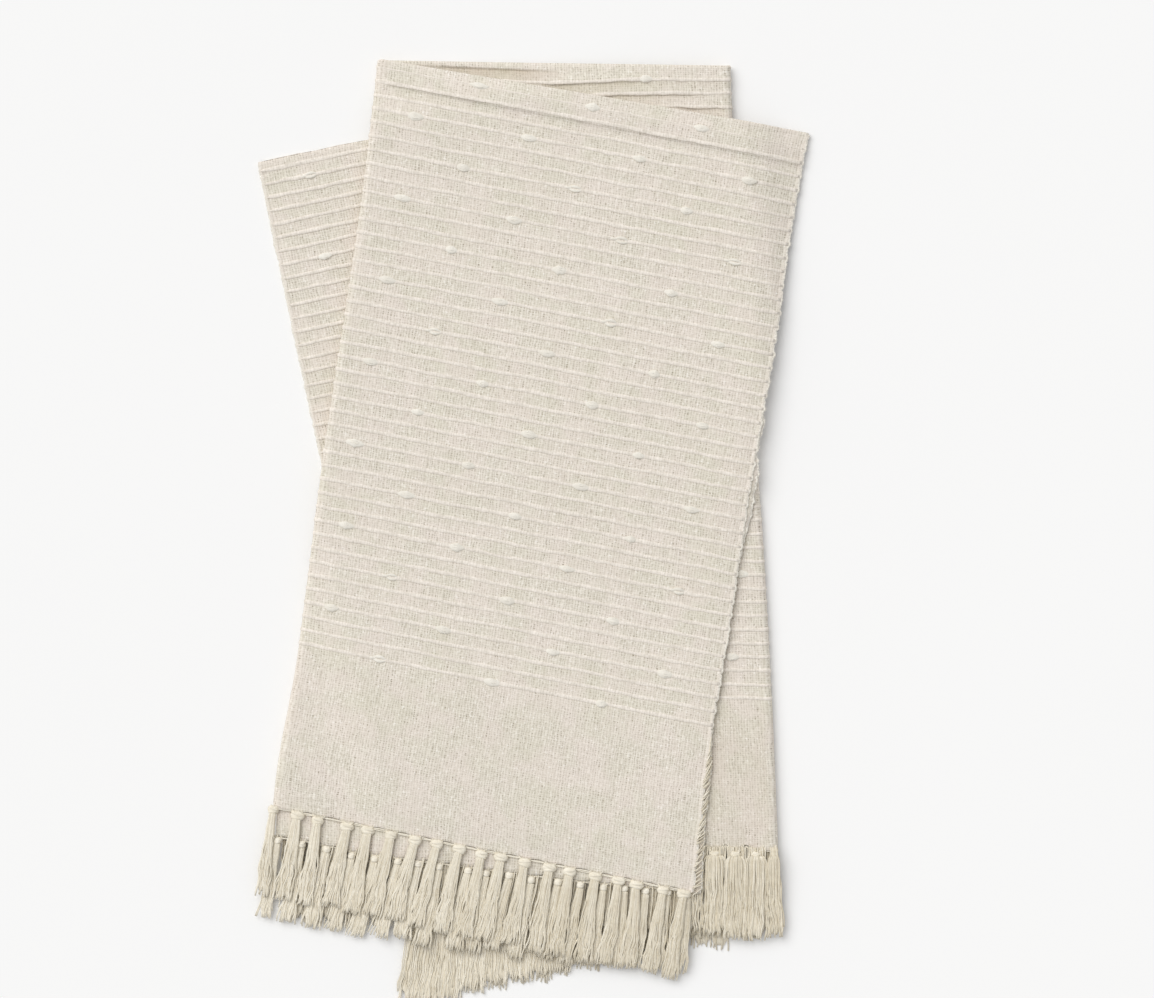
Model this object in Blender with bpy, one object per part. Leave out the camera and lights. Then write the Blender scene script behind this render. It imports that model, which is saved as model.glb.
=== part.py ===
"""A woven cotton throw with knotted tassel fringe, folded and laid flat as for a shelf.

The sheet is folded in half across its width, so its two fringed ends lie together. The front half
is uppermost on the top panel and the back half is under it. This pair of layers is then folded
twice along its length into three panels, fanned like an open map: top, middle and bottom.
Plan frame: +X right, +Y towards the half fold, +Z up. The bottom panel lies on z = 0.
"""

import math
import random

import bmesh
import bpy
import numpy as np
from mathutils.geometry import delaunay_2d_cdt

MM = 0.001

# The sheet as woven.
WIDTH = 1270 * MM
FRONT_LENGTH = 744 * MM
BACK_LENGTH = 780 * MM
CLOTH = 1.8 * MM

# Raised weft ribs: the first rib of the front half lies FIRST_RIB from the fold.
RIB_PITCH = 13.6 * MM
RIB_WIDTH = 3.2 * MM
RIB_RISE = 0.8 * MM
FIRST_RIB = 9.0 * MM
FRONT_RIBS = 43
BACK_RIBS = 47
LOOP_REACH = 1.1 * MM
RIB_TAPER = 0.015

# Slub nubs on every third rib, in a brick layout.
NUB_SPACING = 56.3 * MM
NUB_LENGTH = 13 * MM
NUB_WIDTH = 6.5 * MM
NUB_RISE = 2.4 * MM
RIBS_PER_NUB_ROW = 3

# Where a rib lies open to view on the two lower panels. Its half of the sheet, the distances from the
# half fold between which it does, the width that shows at a distance and the panel's width are in
# millimetres. The last two values are the panel coordinates of the panel's start and the strip's end.
OPEN_STRIPS = [
    {"half": "front", "between": (0, 330), "shows": [(0, 119), (330, 4)], "width": 455, "panel": (4, 5.0)},
    {"half": "back", "between": (8, 50), "shows": [(15, 265), (43, 110)], "width": 355, "panel": (2, 3.4)},
    {"half": "back", "between": (405, 780), "shows": [(405, 14), (780, 89)], "width": 480, "panel": (2, 3.4)},
]
TOP_RIB_END = 1.4

# Mean widths of the panels, by which the nubs are spread over them.
TOP_WIDTH = 426 * MM
TOP_WIDTH_LOST = 10 * MM
MIDDLE_WIDTH = 455 * MM
BOTTOM_WIDTH = 440 * MM
NUB_MARGIN = 0.03

# The folded stack: a pair of layers takes PAIR_PITCH of height.
LAYER_PITCH = 3.4 * MM
PAIR_PITCH = 7.6 * MM
OUTER = (LAYER_PITCH + CLOTH) / 2
INNER = (LAYER_PITCH - CLOTH) / 2
FOLD_REACH = PAIR_PITCH / 2 + OUTER
HALF_FOLD_ARC = math.pi / 2 * OUTER
UNEVENNESS = 0.07

# Edges of the panels in plan, from the half fold to the hem: (x, y) in millimetres.
TOP_SELVEDGE = [
    (275, 394.5), (271, 378), (266, 350), (257, 300), (241, 188), (215, 38), (195, -96), (180, -187),
    (168, -277), (159, -359),
]
LEFT_FOLD = [(-153.5, 467.5), (-163, 378), (-208, 67), (-233, -124), (-257, -275), (-258, -305)]
RIGHT_FOLD = [(197, 461), (199, 411), (226, 35), (233, -71), (239, -187), (244.5, -317)]
BOTTOM_SELVEDGE = [(-272.5, 365.5), (-209, 67), (-115, -378)]

# Length of each edge from the half fold to the hem, for the two halves of the sheet, in millimetres.
HEM_AT = {
    "front": {"top_selvedge": 762, "left_fold": 750, "right_fold": 755, "bottom_selvedge": 759},
    "back": {"top_selvedge": 763, "left_fold": 779, "right_fold": 780, "bottom_selvedge": 767},
}

# How far the back layer shows past the front one at the top selvedge: (share of the length, millimetres).
BACK_SHOWS = [
    (0.0, 0.0), (0.22, -1.0), (0.29, 4.5), (0.42, 4.0), (0.55, -1.0), (0.78, 1.0), (0.9, 6.0), (1.0, 9.0),
]

# The half fold sits this much further along the sheet on each edge of the panels.
FOLD_SHIFT = [(0.0, 0.0), (2.0, 0.0), (3.0, -2.5), (4.0, -2.5), (4.6, -11.0), (5.0, -11.0)]

# The front layer of the top panel puffs up behind the half fold: (distance from it, rise), millimetres.
TOP_ROLL = [(0, 0.0), (2.6, 1.0), (9, 2.0), (16, 2.2), (22, 1.4), (28, -0.5), (36, 0.2), (50, 0.0)]
ROLL_FADE = [(0.0, 1.0), (0.55, 1.0), (0.85, 0.35), (1.0, 0.0)]

# Where a panel runs past the one below it, it sinks: (distance past its edge in mm, share of height left).
SINK_LEFT = [(8, 1.0), (20, 0.82), (40, 0.28), (58, 0.0)]
SINK_TOP = [(6, 1.0), (18, 0.82), (38, 0.28), (54, 0.0)]
SINK_RIGHT = [(12, 1.0), (28, 0.8), (50, 0.28), (72, 0.0)]
SINK_HEM = [(6, 1.0), (98, 0.64), (140, 0.0)]

# A fringe row itself thins out from its hem to its tips: (distance past the hem in mm, share of its height).
THIN_OUT = [(6, 1.0), (90, 0.56)]

# Fringe: equal tassels along each end, each a knot and two locks.
TASSELS = 58
STRIP_GAP = 0.35 * MM
STRIP_SIZE = 1.5 * MM
KNOT_DROP = 6.0 * MM
KNOT_WIDTH = 6.0 * MM
KNOT_LENGTH = 6.5 * MM
LOCK_LENGTH = 76 * MM
LOCK_WIDTH = 8.0 * MM
LOCK_STEPS = (0.42, 1.0)
LOCK_SPREAD = [(0.0, 0.30), (1.0, 0.58)]
LOCK_WIDENS = [(0.0, 0.50), (1.0, 0.92)]
LOCK_THINS = [(0.0, 1.0), (1.0, 0.55)]
STRIP_END = 4.1 * MM
STRIP_THICK = 0.5
END_MARGIN = 0.014
LENGTH_VARIES = (0.94, 1.03)
SWAY = 0.03
KNOT_SHIFT = 0.6 * MM

# Each fringe row: panel, half, centre height in its pair, thickness, and the plan lean of its locks.
ROWS = [
    {"panel": "bottom", "half": "back", "centre": 1.55, "thick": 2.9, "lean": (-0.20, -0.98)},
    {"panel": "bottom", "half": "front", "centre": 5.25, "thick": 3.3, "lean": (-0.20, -0.98)},
    {"panel": "middle", "half": "front", "centre": 1.55, "thick": 2.9, "lean": (0.00, -1.0)},
    {"panel": "middle", "half": "back", "centre": 5.25, "thick": 3.3, "lean": (0.02, -1.0)},
    {"panel": "top", "half": "back", "centre": 1.55, "thick": 2.9, "lean": (-0.12, -0.99)},
    {"panel": "top", "half": "front", "centre": 5.25, "thick": 3.3, "lean": (-0.14, -0.99)},
]

# Panel coordinate: 0 to 1 top panel, 1 to 2 left fold, 2 to 3 middle, 3 to 4 right fold, 4 to 5 bottom.
PANEL_SPAN = {"top": (0, 1), "middle": (2, 3), "bottom": (4, 5)}
SHEET_KNOTS = np.array([0, 418, 430, 842, 854, 1270]) * MM
FOLD_STEPS = 6
SEED = 11

# Rows across the sheet, by distance from the half fold, and steps round it on each side of the cloth.
ROWS_ACROSS = (120 * MM, 260 * MM, 400 * MM, 540 * MM, 680 * MM)
ROLL_ROWS = (9 * MM, 16 * MM, 22 * MM, 28 * MM, 36 * MM)
PANEL_COLUMNS = 4
RIGHT_SIDE_TURNS = 5
WRONG_SIDE_TURNS = 3

# Search grid for the lines where a panel sinks, and the points kept on each line.
CONTOUR_GRID = (41, 121)
CONTOUR_POINTS = 14
STEEP_SHARE = 0.3

# Two places on the sheet count as one below this.
NEAR = 1e-5


def table(rows, value):
    """Reads a two-column table at value, straight between its rows and level past its ends."""
    columns = np.array(rows, float)
    return np.interp(value, columns[:, 0], columns[:, 1])


def edge_curve(points, distance):
    """Plan point at a distance along an edge, on a smooth curve through the edge's points."""
    knots = np.array(points, float) * MM
    chord = np.concatenate([[0], np.cumsum(np.linalg.norm(np.diff(knots, axis=0), axis=1))])
    tangent = np.gradient(knots, chord, axis=0)
    distance = np.asarray(distance, float)
    i = np.clip(np.searchsorted(chord, distance) - 1, 0, len(chord) - 2)
    span = chord[i + 1] - chord[i]
    t = (distance - chord[i]) / span
    inside = np.clip(t, 0, 1)[..., None]
    span = span[..., None]
    smooth = (
        (2 * inside**3 - 3 * inside**2 + 1) * knots[i]
        + (inside**3 - 2 * inside**2 + inside) * span * tangent[i]
        + (3 * inside**2 - 2 * inside**3) * knots[i + 1]
        + (inside**3 - inside**2) * span * tangent[i + 1]
    )
    past = (t[..., None] - inside) * span
    return smooth + past * np.where(past > 0, tangent[i + 1], tangent[i])


def edge_normal(points, distance, side):
    """Unit plan vector square to an edge: side is 1 for the right of its run, -1 for the left."""
    step = 2 * MM
    run = edge_curve(points, distance + step) - edge_curve(points, distance - step)
    run /= np.linalg.norm(run, axis=-1, keepdims=True)
    return side * np.stack([-run[..., 1], run[..., 0]], axis=-1)


def past_line(x, y, start, end):
    """Distance of a plan point past the straight line from start to end, positive on its right."""
    ax, ay = np.array(start, float) * MM
    bx, by = np.array(end, float) * MM
    length = math.hypot(bx - ax, by - ay)
    return ((x - ax) * (by - ay) - (y - ay) * (bx - ax)) / length


def past_bottom_left(x, y):
    return past_line(x, y, BOTTOM_SELVEDGE[-1], BOTTOM_SELVEDGE[0]) * -1


def past_bottom_top(x, y):
    return past_line(x, y, BOTTOM_SELVEDGE[0], RIGHT_FOLD[0]) * -1


def past_right_fold(x, y):
    return past_line(x, y, RIGHT_FOLD[-1], RIGHT_FOLD[0])


def past_middle_hem(x, y):
    return past_line(x, y, LEFT_FOLD[-1], RIGHT_FOLD[-1])


def past_bottom_hem(x, y):
    return past_line(x, y, BOTTOM_SELVEDGE[-1], RIGHT_FOLD[-1])


def past_top_hem(x, y):
    return past_line(x, y, LEFT_FOLD[-1], TOP_SELVEDGE[-1])


def sink(rows, past):
    return table(rows, past / MM)


def bottom_share(x, y):
    """Share of the bottom pair's height that lies under a plan point."""
    sides = sink(SINK_LEFT, past_bottom_left(x, y)) * sink(SINK_RIGHT, past_right_fold(x, y))
    return sides * sink(SINK_TOP, past_bottom_top(x, y)) * sink(SINK_HEM, past_bottom_hem(x, y))


def middle_share(x, y):
    """Share of the middle pair's height that lies under a plan point."""
    return sink(SINK_RIGHT, past_right_fold(x, y)) * sink(SINK_HEM, past_middle_hem(x, y))


def panel_floor(panel, x, y):
    """Height of the surface on which a panel lies."""
    if panel == "bottom":
        return np.zeros_like(x)
    under = bottom_share(x, y)
    if panel == "top":
        under = under + middle_share(x, y)
    return under * PAIR_PITCH


def settle(points):
    """Makes the stack a little uneven, by a slow wave that scales every height alike."""
    x, y, z = points[..., 0], points[..., 1], points[..., 2]
    wave = np.sin(9.1 * x + 5.3 * y + 0.6) * np.cos(4.7 * x - 11.9 * y + 1.1)
    return np.stack([x, y, z * (1 + UNEVENNESS * wave)], axis=-1)


def fold_line(panel_at):
    """Place of the half fold along the sheet."""
    return table(FOLD_SHIFT, panel_at) * MM


def edge_distances(panel_at, along, reach):
    """Distances from the half fold along the four panel edges, and the offset from the pair's middle."""
    signed = along - fold_line(panel_at)
    front = signed > 0
    sign = np.where(front, 1.0, -1.0)
    whole = np.where(front, FRONT_LENGTH - fold_line(panel_at), BACK_LENGTH + fold_line(panel_at))
    share = np.clip((np.abs(signed) - HALF_FOLD_ARC) / (whole - HALF_FOLD_ARC), 0, None)
    turn = np.clip(np.abs(signed) / HALF_FOLD_ARC, 0, 1) * math.pi / 2
    near = OUTER - reach * np.cos(turn)
    offset = sign * reach * np.sin(turn)
    distances = {}
    for edge in HEM_AT["front"]:
        hem = np.where(front, HEM_AT["front"][edge], HEM_AT["back"][edge]) * MM
        distances[edge] = near + share * (hem - OUTER)
    return distances, offset, share, front


def roll(panel_at, distance, front):
    """Rise of the top panel's front layer behind the half fold."""
    rise = table(TOP_ROLL, distance / MM) * table(ROLL_FADE, panel_at) * MM
    return np.where(front & (panel_at <= 1), rise, 0)


def fold_centre(points, distance, side):
    """Plan centre line of a lengthwise fold, inside its visible edge, and the direction outwards."""
    outward = edge_normal(points, distance, side)
    return edge_curve(points, distance) - outward * FOLD_REACH, outward


def sheet_point(panel_at, along, reach, relief=0.0, loops=0.0):
    """Points of the folded sheet: reach is OUTER for its right side and INNER for its wrong side."""
    panel_at, along = np.broadcast_arrays(np.asarray(panel_at, float), np.asarray(along, float))
    at, offset, share, front = edge_distances(panel_at, along, reach)
    offset = offset + np.sign(offset) * relief + roll(panel_at, at["top_selvedge"], front)
    selvedge = edge_curve(TOP_SELVEDGE, at["top_selvedge"])
    selvedge[..., 0] += np.where(front, 0, table(BACK_SHOWS, share)) * MM + loops
    end = edge_curve(BOTTOM_SELVEDGE, at["bottom_selvedge"])
    end[..., 0] -= loops
    left, left_out = fold_centre(LEFT_FOLD, at["left_fold"], -1)
    right, right_out = fold_centre(RIGHT_FOLD, at["right_fold"], 1)
    plan = np.zeros(panel_at.shape + (2,))
    z = np.zeros(panel_at.shape)
    middle = OUTER + PAIR_PITCH / 2
    spans = [("top", 0, selvedge, left, 1), ("middle", 2, left, right, -1), ("bottom", 4, right, end, 1)]
    for panel, start, near, far, facing in spans:
        here = (panel_at >= start) & (panel_at <= start + 1)
        t = (panel_at - start)[..., None]
        flat = near + (far - near) * t
        plan[here] = flat[here]
        level = panel_floor(panel, flat[..., 0], flat[..., 1]) + OUTER + facing * offset
        z[here] = level[here]
    turns = [("middle", 1, left, left_out, 1), ("bottom", 3, right, right_out, -1)]
    for panel, start, centre, outward, facing in turns:
        here = (panel_at > start) & (panel_at < start + 1)
        angle = (panel_at - start) * math.pi
        radius = PAIR_PITCH / 2 + facing * offset
        bent = centre + outward * (radius * np.sin(angle))[..., None]
        plan[here] = bent[here]
        level = panel_floor(panel, centre[..., 0], centre[..., 1]) + middle + radius * np.cos(angle)
        z[here] = level[here]
    return settle(np.concatenate([plan, z[..., None]], axis=-1))


def unfolded_x(panel_at):
    """Place across the unfolded sheet, where every panel and fold has its own width."""
    return np.interp(panel_at, np.arange(len(SHEET_KNOTS)), SHEET_KNOTS)


def panel_coordinate(x):
    return np.interp(x, SHEET_KNOTS, np.arange(len(SHEET_KNOTS)))


class Net:
    """Lines on the unfolded sheet, from which its triangles are made."""

    def __init__(self):
        self.points = []
        self.edges = []

    def line(self, panel_at, along):
        start = len(self.points)
        self.points += [(float(unfolded_x(p)), float(a)) for p, a in zip(panel_at, along)]
        self.edges += [(i, i + 1) for i in range(start, len(self.points) - 1)]

    def triangles(self):
        made = delaunay_2d_cdt(self.points, self.edges, [], 1, 1e-6)
        return np.array([tuple(v) for v in made[0]]), [tuple(f) for f in made[2]]


def rib_places():
    """Along-sheet places of the ribs, front half first, with each rib's number."""
    front = [(k, FIRST_RIB + k * RIB_PITCH) for k in range(FRONT_RIBS)]
    back = [(-k, FIRST_RIB - k * RIB_PITCH) for k in range(1, BACK_RIBS + 1)]
    return front + back


def open_stretches(number, along):
    """Stretches of a rib that lie open to view, as panel coordinates."""
    found = [(0.0, TOP_RIB_END)] if number >= 0 else []
    for strip in OPEN_STRIPS:
        start, end = strip["panel"]
        sign = 1 if strip["half"] == "front" else -1
        distance = sign * (along - fold_line(end)) / MM
        if strip["between"][0] < distance < strip["between"][1]:
            shown = table(strip["shows"], distance) / strip["width"]
            found.append((start + 1 - shown, end))
    return found


def nub_places(number, stretch):
    """Panel coordinates of the nubs on one open stretch of a rib."""
    row, rest = divmod(number, RIBS_PER_NUB_ROW)
    if rest:
        return []
    top_width = TOP_WIDTH - TOP_WIDTH_LOST * abs(number) / FRONT_RIBS
    middle_start = top_width + math.pi * PAIR_PITCH / 2
    spans = [(0, 0, top_width), (2, middle_start, MIDDLE_WIDTH), (4, WIDTH - BOTTOM_WIDTH, BOTTOM_WIDTH)]
    found = []
    for step in range(1, int(WIDTH / NUB_SPACING) + 1):
        for start, panel_from, width in spans:
            at = start + (step * NUB_SPACING - panel_from) / width
            on_panel = start + NUB_MARGIN < at < start + 1 - NUB_MARGIN
            in_view = stretch[0] + NUB_MARGIN < at < stretch[1] - NUB_MARGIN
            if (step + row) % 2 == 0 and on_panel and in_view:
                found.append(at)
    return found


def rib_lines(net, number, along, stretch):
    """Adds the foot, crest and foot of one stretch of a rib, widened at its nubs."""
    low, high = stretch
    nubs = sorted(nub_places(number, stretch))
    half_nub = NUB_LENGTH / 2 / TOP_WIDTH
    for side in (-1, 0, 1):
        panel_at = [low, low + RIB_TAPER]
        offsets = [side * RIB_WIDTH / 2] * 2
        for nub in nubs:
            panel_at += [nub - half_nub, nub, nub + half_nub]
            offsets += [side * RIB_WIDTH / 2, side * NUB_WIDTH / 2, side * RIB_WIDTH / 2]
        panel_at.append(high)
        offsets.append(side * RIB_WIDTH / 2)
        net.line(panel_at, [along + o for o in offsets])
    return nubs


def crossings(values, across, lengths, run_along):
    """Points where values on a grid change sign, one for each grid line met."""
    found = []
    if run_along:
        for j, length in enumerate(lengths):
            for i in np.flatnonzero(values[:-1, j] * values[1:, j] < 0)[:1]:
                t = values[i, j] / (values[i, j] - values[i + 1, j])
                found.append((across[i] + t * (across[1] - across[0]), length))
        return found
    for i, place in enumerate(across):
        for j in np.flatnonzero(values[i, :-1] * values[i, 1:] < 0)[:1]:
            t = values[i, j] / (values[i, j] - values[i, j + 1])
            found.append((place, lengths[j] + t * (lengths[1] - lengths[0])))
    return found


def contour(net, distance_of, places, start, half):
    """Adds lines on one panel where it lies at the given distances past the edge of the one below."""
    hem = FRONT_LENGTH if half == "front" else -BACK_LENGTH
    first = fold_line(float(start)) + math.copysign(HALF_FOLD_ARC, hem)
    across = np.linspace(start, start + 1, CONTOUR_GRID[0])
    lengths = np.linspace(first, hem, CONTOUR_GRID[1])
    grid_p, grid_a = np.meshgrid(across, lengths, indexing="ij")
    points = sheet_point(grid_p, grid_a, OUTER)
    past = distance_of(points[..., 0], points[..., 1])
    for place in places:
        values = past - place * MM
        change_across = np.abs(np.diff(values, axis=0)).mean()
        run_along = change_across > STEEP_SHARE * np.abs(np.diff(values, axis=1)).mean()
        met = crossings(values, across, lengths, run_along)
        if len(met) < 2:
            continue
        count = min(CONTOUR_POINTS if run_along else CONTOUR_POINTS // 2, len(met))
        keep = np.unique(np.linspace(0, len(met) - 1, count).round().astype(int))
        net.line([met[k][0] for k in keep], [met[k][1] for k in keep])


def shared_lines(net, row_places, turn_steps):
    """Adds the sheet's border, its panel columns, its fold lines and a few rows across."""
    columns = [5.0]
    for start, count in enumerate((PANEL_COLUMNS, FOLD_STEPS, PANEL_COLUMNS, FOLD_STEPS, PANEL_COLUMNS)):
        columns += [start + k / count for k in range(count)]
    for p in sorted(columns):
        net.line([p, p], [-BACK_LENGTH, FRONT_LENGTH])
    spread = np.array(sorted(set([0, 1, 2, 3, 4, 5] + [row[0] for row in FOLD_SHIFT])), float)
    for hem in (-BACK_LENGTH, FRONT_LENGTH):
        net.line(spread, np.full_like(spread, hem))
    for step in range(turn_steps + 1):
        share = -1 + 2 * step / turn_steps
        net.line(spread, fold_line(spread) + share * HALF_FOLD_ARC)
    for distance in row_places:
        for sign, length in ((1, FRONT_LENGTH), (-1, BACK_LENGTH)):
            if distance < length:
                net.line(spread, fold_line(spread) * (1 - distance / length) + sign * distance)


def contours(net):
    """Adds the lines along which the panels sink past the edges of those below them."""
    tables = (SINK_LEFT, SINK_TOP, SINK_RIGHT, SINK_HEM[:1])
    left, top, right, hem = ([row[0] for row in rows] for rows in tables)
    for half in ("front", "back"):
        for start in (0, 2):
            contour(net, past_bottom_left, left, start, half)
            contour(net, past_bottom_top, top, start, half)
        contour(net, past_right_fold, right, 0, half)
        contour(net, past_middle_hem, hem, 0, half)
        contour(net, past_bottom_hem, hem, 0, half)


def relief_at(panel_at, along, ribs):
    """Height of ribs and nubs at points of the sheet, and the reach of the ribs' end loops."""
    rise = np.zeros(len(along))
    loops = np.zeros(len(along))
    for place, low, high, nubs in ribs:
        inside = (panel_at > low + NEAR) & (panel_at < high - NEAR)
        at_selvedge = (panel_at < NEAR) & (low == 0) | (panel_at > 5 - NEAR) & (high == 5)
        crest = (inside | at_selvedge) & (np.abs(along - place) < NEAR)
        rise[crest] = RIB_RISE
        loops[crest & at_selvedge] = LOOP_REACH
        for nub in nubs:
            rise[crest & (np.abs(panel_at - nub) < NEAR)] = NUB_RISE
    return rise, loops


def right_side():
    """Points and triangles of the sheet's right side, with its ribs and nubs."""
    net = Net()
    shared_lines(net, ROWS_ACROSS, RIGHT_SIDE_TURNS)
    contours(net)
    ribs = []
    for number, place in rib_places():
        for stretch in open_stretches(number, place):
            nubs = rib_lines(net, number, place, stretch)
            ribs.append((place, stretch[0], stretch[1], nubs))
    flat, faces = net.triangles()
    panel_at = panel_coordinate(flat[:, 0])
    rise, loops = relief_at(panel_at, flat[:, 1], ribs)
    return flat, sheet_point(panel_at, flat[:, 1], OUTER, rise, loops), faces


def wrong_side():
    """Points and triangles of the sheet's wrong side, which only follows its folds."""
    net = Net()
    shared_lines(net, ROLL_ROWS + ROWS_ACROSS, WRONG_SIDE_TURNS)
    contours(net)
    flat, faces = net.triangles()
    return flat, sheet_point(panel_coordinate(flat[:, 0]), flat[:, 1], INNER), faces


def rim_sides(flat):
    """Vertex numbers along the four sides of the unfolded sheet, each in order."""
    x, y = flat[:, 0], flat[:, 1]
    sides = []
    for values, order, end in ((x, y, x.min()), (x, y, x.max()), (y, x, y.min()), (y, x, y.max())):
        on = np.flatnonzero(np.abs(values - end) < NEAR)
        sides.append((on[np.argsort(order[on])], order))
    return sides


def zip_sides(first, first_at, second, second_at, shift):
    """Triangles between two rows of points, each sorted by its place along a common side."""
    i = j = 0
    faces = []
    while i < len(first) - 1 or j < len(second) - 1:
        step_first = j == len(second) - 1
        if not step_first and i < len(first) - 1:
            step_first = first_at[first[i + 1]] <= second_at[second[j + 1]]
        if step_first:
            faces.append((first[i], first[i + 1], second[j] + shift))
            i += 1
        else:
            faces.append((first[i], second[j + 1] + shift, second[j] + shift))
            j += 1
    return faces


def build_object(name, points, faces, material):
    """Makes one mesh object from points and faces, with its faces turned outwards."""
    mesh = bpy.data.meshes.new(name)
    mesh.from_pydata([tuple(p) for p in points], [], [tuple(int(i) for i in f) for f in faces])
    shape = bmesh.new()
    shape.from_mesh(mesh)
    bmesh.ops.remove_doubles(shape, verts=shape.verts, dist=1e-6)
    bmesh.ops.recalc_face_normals(shape, faces=shape.faces)
    shape.to_mesh(mesh)
    shape.free()
    mesh.materials.append(material)
    made = bpy.data.objects.new(name, mesh)
    bpy.context.scene.collection.objects.link(made)
    return made


def build_throw(material):
    """The whole sheet as one solid: right side, wrong side, selvedges and hems."""
    flat_out, points_out, faces_out = right_side()
    flat_in, points_in, faces_in = wrong_side()
    shift = len(points_out)
    faces = list(faces_out) + [tuple(i + shift for i in f) for f in faces_in]
    for (outer, outer_at), (inner, inner_at) in zip(rim_sides(flat_out), rim_sides(flat_in)):
        faces += zip_sides(outer, outer_at, inner, inner_at, shift)
    return build_object("throw", np.vstack([points_out, points_in]), faces, material)


def hem_places(half):
    """Panel coordinates of the tassels along one end of the sheet."""
    along = FRONT_LENGTH if half == "front" else -BACK_LENGTH
    fine = np.linspace(0, 5, 501)
    points = sheet_point(fine, np.full_like(fine, along), (OUTER + INNER) / 2)
    run = np.concatenate([[0], np.cumsum(np.linalg.norm(np.diff(points, axis=0), axis=1))])
    return np.interp((np.arange(TASSELS) + 0.5) / TASSELS * run[-1], run, fine)


def row_places(panel, half):
    """Tassels of one fringe row. One that falls in a lengthwise fold goes to the panel nearer to it."""
    low, high = PANEL_SPAN[panel]
    places = [p for p in hem_places(half) if low - 0.5 <= p < high + 0.5]
    return [min(max(p, low + END_MARGIN), high - END_MARGIN) for p in places]


def hem_point(panel_at, half):
    along = FRONT_LENGTH if half == "front" else -BACK_LENGTH
    return sheet_point(np.array([panel_at]), np.array([along]), OUTER)[0, :2]


def row_height(row, x, y, place):
    """Height of a point of a fringe row: place is -1 at its underside, 1 on top."""
    own = {"bottom": past_bottom_hem, "middle": past_middle_hem, "top": past_top_hem}[row["panel"]]
    x, y = np.array([x]), np.array([y])
    level = panel_floor(row["panel"], x, y)
    share = sink(THIN_OUT, own(x, y))
    height = level + share * (row["centre"] + place * row["thick"] / 2) * MM
    return float(settle(np.stack([x, y, height], axis=-1))[0, 2])


def ring(row, centre, across, out, width, length, thick):
    """Four points of the backing strip or a knot, square to the hem's run."""
    points = []
    for along_out, up in ((-1, -1), (1, -1), (1, 1), (-1, 1)):
        x, y = centre + across * width + out * (along_out * length / 2)
        points.append((x, y, row_height(row, x, y, up * thick)))
    return points


def lock_ring(row, centre, side, width, thick, upright):
    """Three points of a lock: one edge below and two above, or the other way round."""
    plan = [(-0.5, -1), (0.5, -1), (0.1, 1)] if upright else [(-0.1, -1), (0.5, 1), (-0.5, 1)]
    points = []
    for across, up in plan:
        x, y = centre + side * (across * width)
        points.append((x, y, row_height(row, x, y, up * thick)))
    return points


def build_fringe(row, material):
    """One fringe row: a strip beside the hem that dips to each knot, and two locks below each knot."""
    rng = random.Random(SEED + ROWS.index(row))
    places = row_places(row["panel"], row["half"])
    if row["panel"] != "middle":
        places = places[::-1]
    hem = [hem_point(p, row["half"]) for p in places]
    lean = np.array(row["lean"], float)
    points = []
    faces = []
    last = None

    def add(new):
        points.extend(new)
        return list(range(len(points) - len(new), len(points)))

    def join(a, b, sides):
        for k in sides:
            m = (k + 1) % len(a)
            faces.append((a[k], a[m], b[m]))
            faces.append((a[k], b[m], b[k]))

    for i, here in enumerate(hem):
        before = hem[i - 1] if i else here - (hem[i + 1] - here)
        after = hem[i + 1] if i < len(hem) - 1 else here + (here - hem[i - 1])
        across = (after - before) / np.linalg.norm(after - before)
        out = np.array([across[1], -across[0]])
        gap = np.linalg.norm(here - before)
        strip_at = STRIP_GAP + STRIP_SIZE / 2
        reach = 0.5 * gap if i else STRIP_END
        start = ring(row, here - across * reach + out * strip_at, across, out, 0, STRIP_SIZE, STRIP_THICK)
        if i == 0:
            last = add(start)
            faces.append((last[0], last[1], last[2]))
            faces.append((last[0], last[2], last[3]))
        else:
            middle = add(start)
            join(last, middle, range(4))
            last = middle
        knot = here + out * (KNOT_DROP + rng.uniform(-KNOT_SHIFT, KNOT_SHIFT))
        left = add(ring(row, knot, across, out, -KNOT_WIDTH / 2, KNOT_LENGTH, 1.0))
        right = add(ring(row, knot, across, out, KNOT_WIDTH / 2, KNOT_LENGTH, 1.0))
        join(last, left, range(4))
        join(left, right, (0, 2, 3))
        last = right
        length = LOCK_LENGTH * rng.uniform(*LENGTH_VARIES)
        direction = np.array([lean[0] + rng.uniform(-SWAY, SWAY), lean[1]])
        direction /= np.linalg.norm(direction)
        side = np.array([-direction[1], direction[0]])
        root = knot + out * KNOT_LENGTH / 2
        roots = ([left[1], right[1], right[2]], [left[1], right[2], left[2]])
        for which, (lock, upright) in enumerate(zip(roots, (True, False))):
            hand = 1 if which == 0 else -1
            for step in LOCK_STEPS:
                spread = LOCK_WIDTH * hand * table(LOCK_SPREAD, step)
                centre = root + direction * length * step + side * spread
                width = LOCK_WIDTH * table(LOCK_WIDENS, step)
                new = add(lock_ring(row, centre, side, width, table(LOCK_THINS, step), upright))
                join(lock, new, range(3))
                lock = new
            faces.append((lock[0], lock[1], lock[2]))
    finish = hem[-1] + across * STRIP_END + out * strip_at
    end = add(ring(row, finish, across, out, 0, STRIP_SIZE, STRIP_THICK))
    join(last, end, range(4))
    faces.append((end[0], end[2], end[1]))
    faces.append((end[0], end[3], end[2]))
    name = "fringe_{}_{}".format(row["panel"], row["half"])
    return build_object(name, points, faces, material)


def cotton(name, colour, roughness):
    material = bpy.data.materials.new(name)
    material.use_nodes = True
    shader = material.node_tree.nodes["Principled BSDF"]
    shader.inputs["Base Color"].default_value = (*colour, 1)
    shader.inputs["Roughness"].default_value = roughness
    shader.inputs["Metallic"].default_value = 0
    material.diffuse_color = (*colour, 1)
    return material


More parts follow.
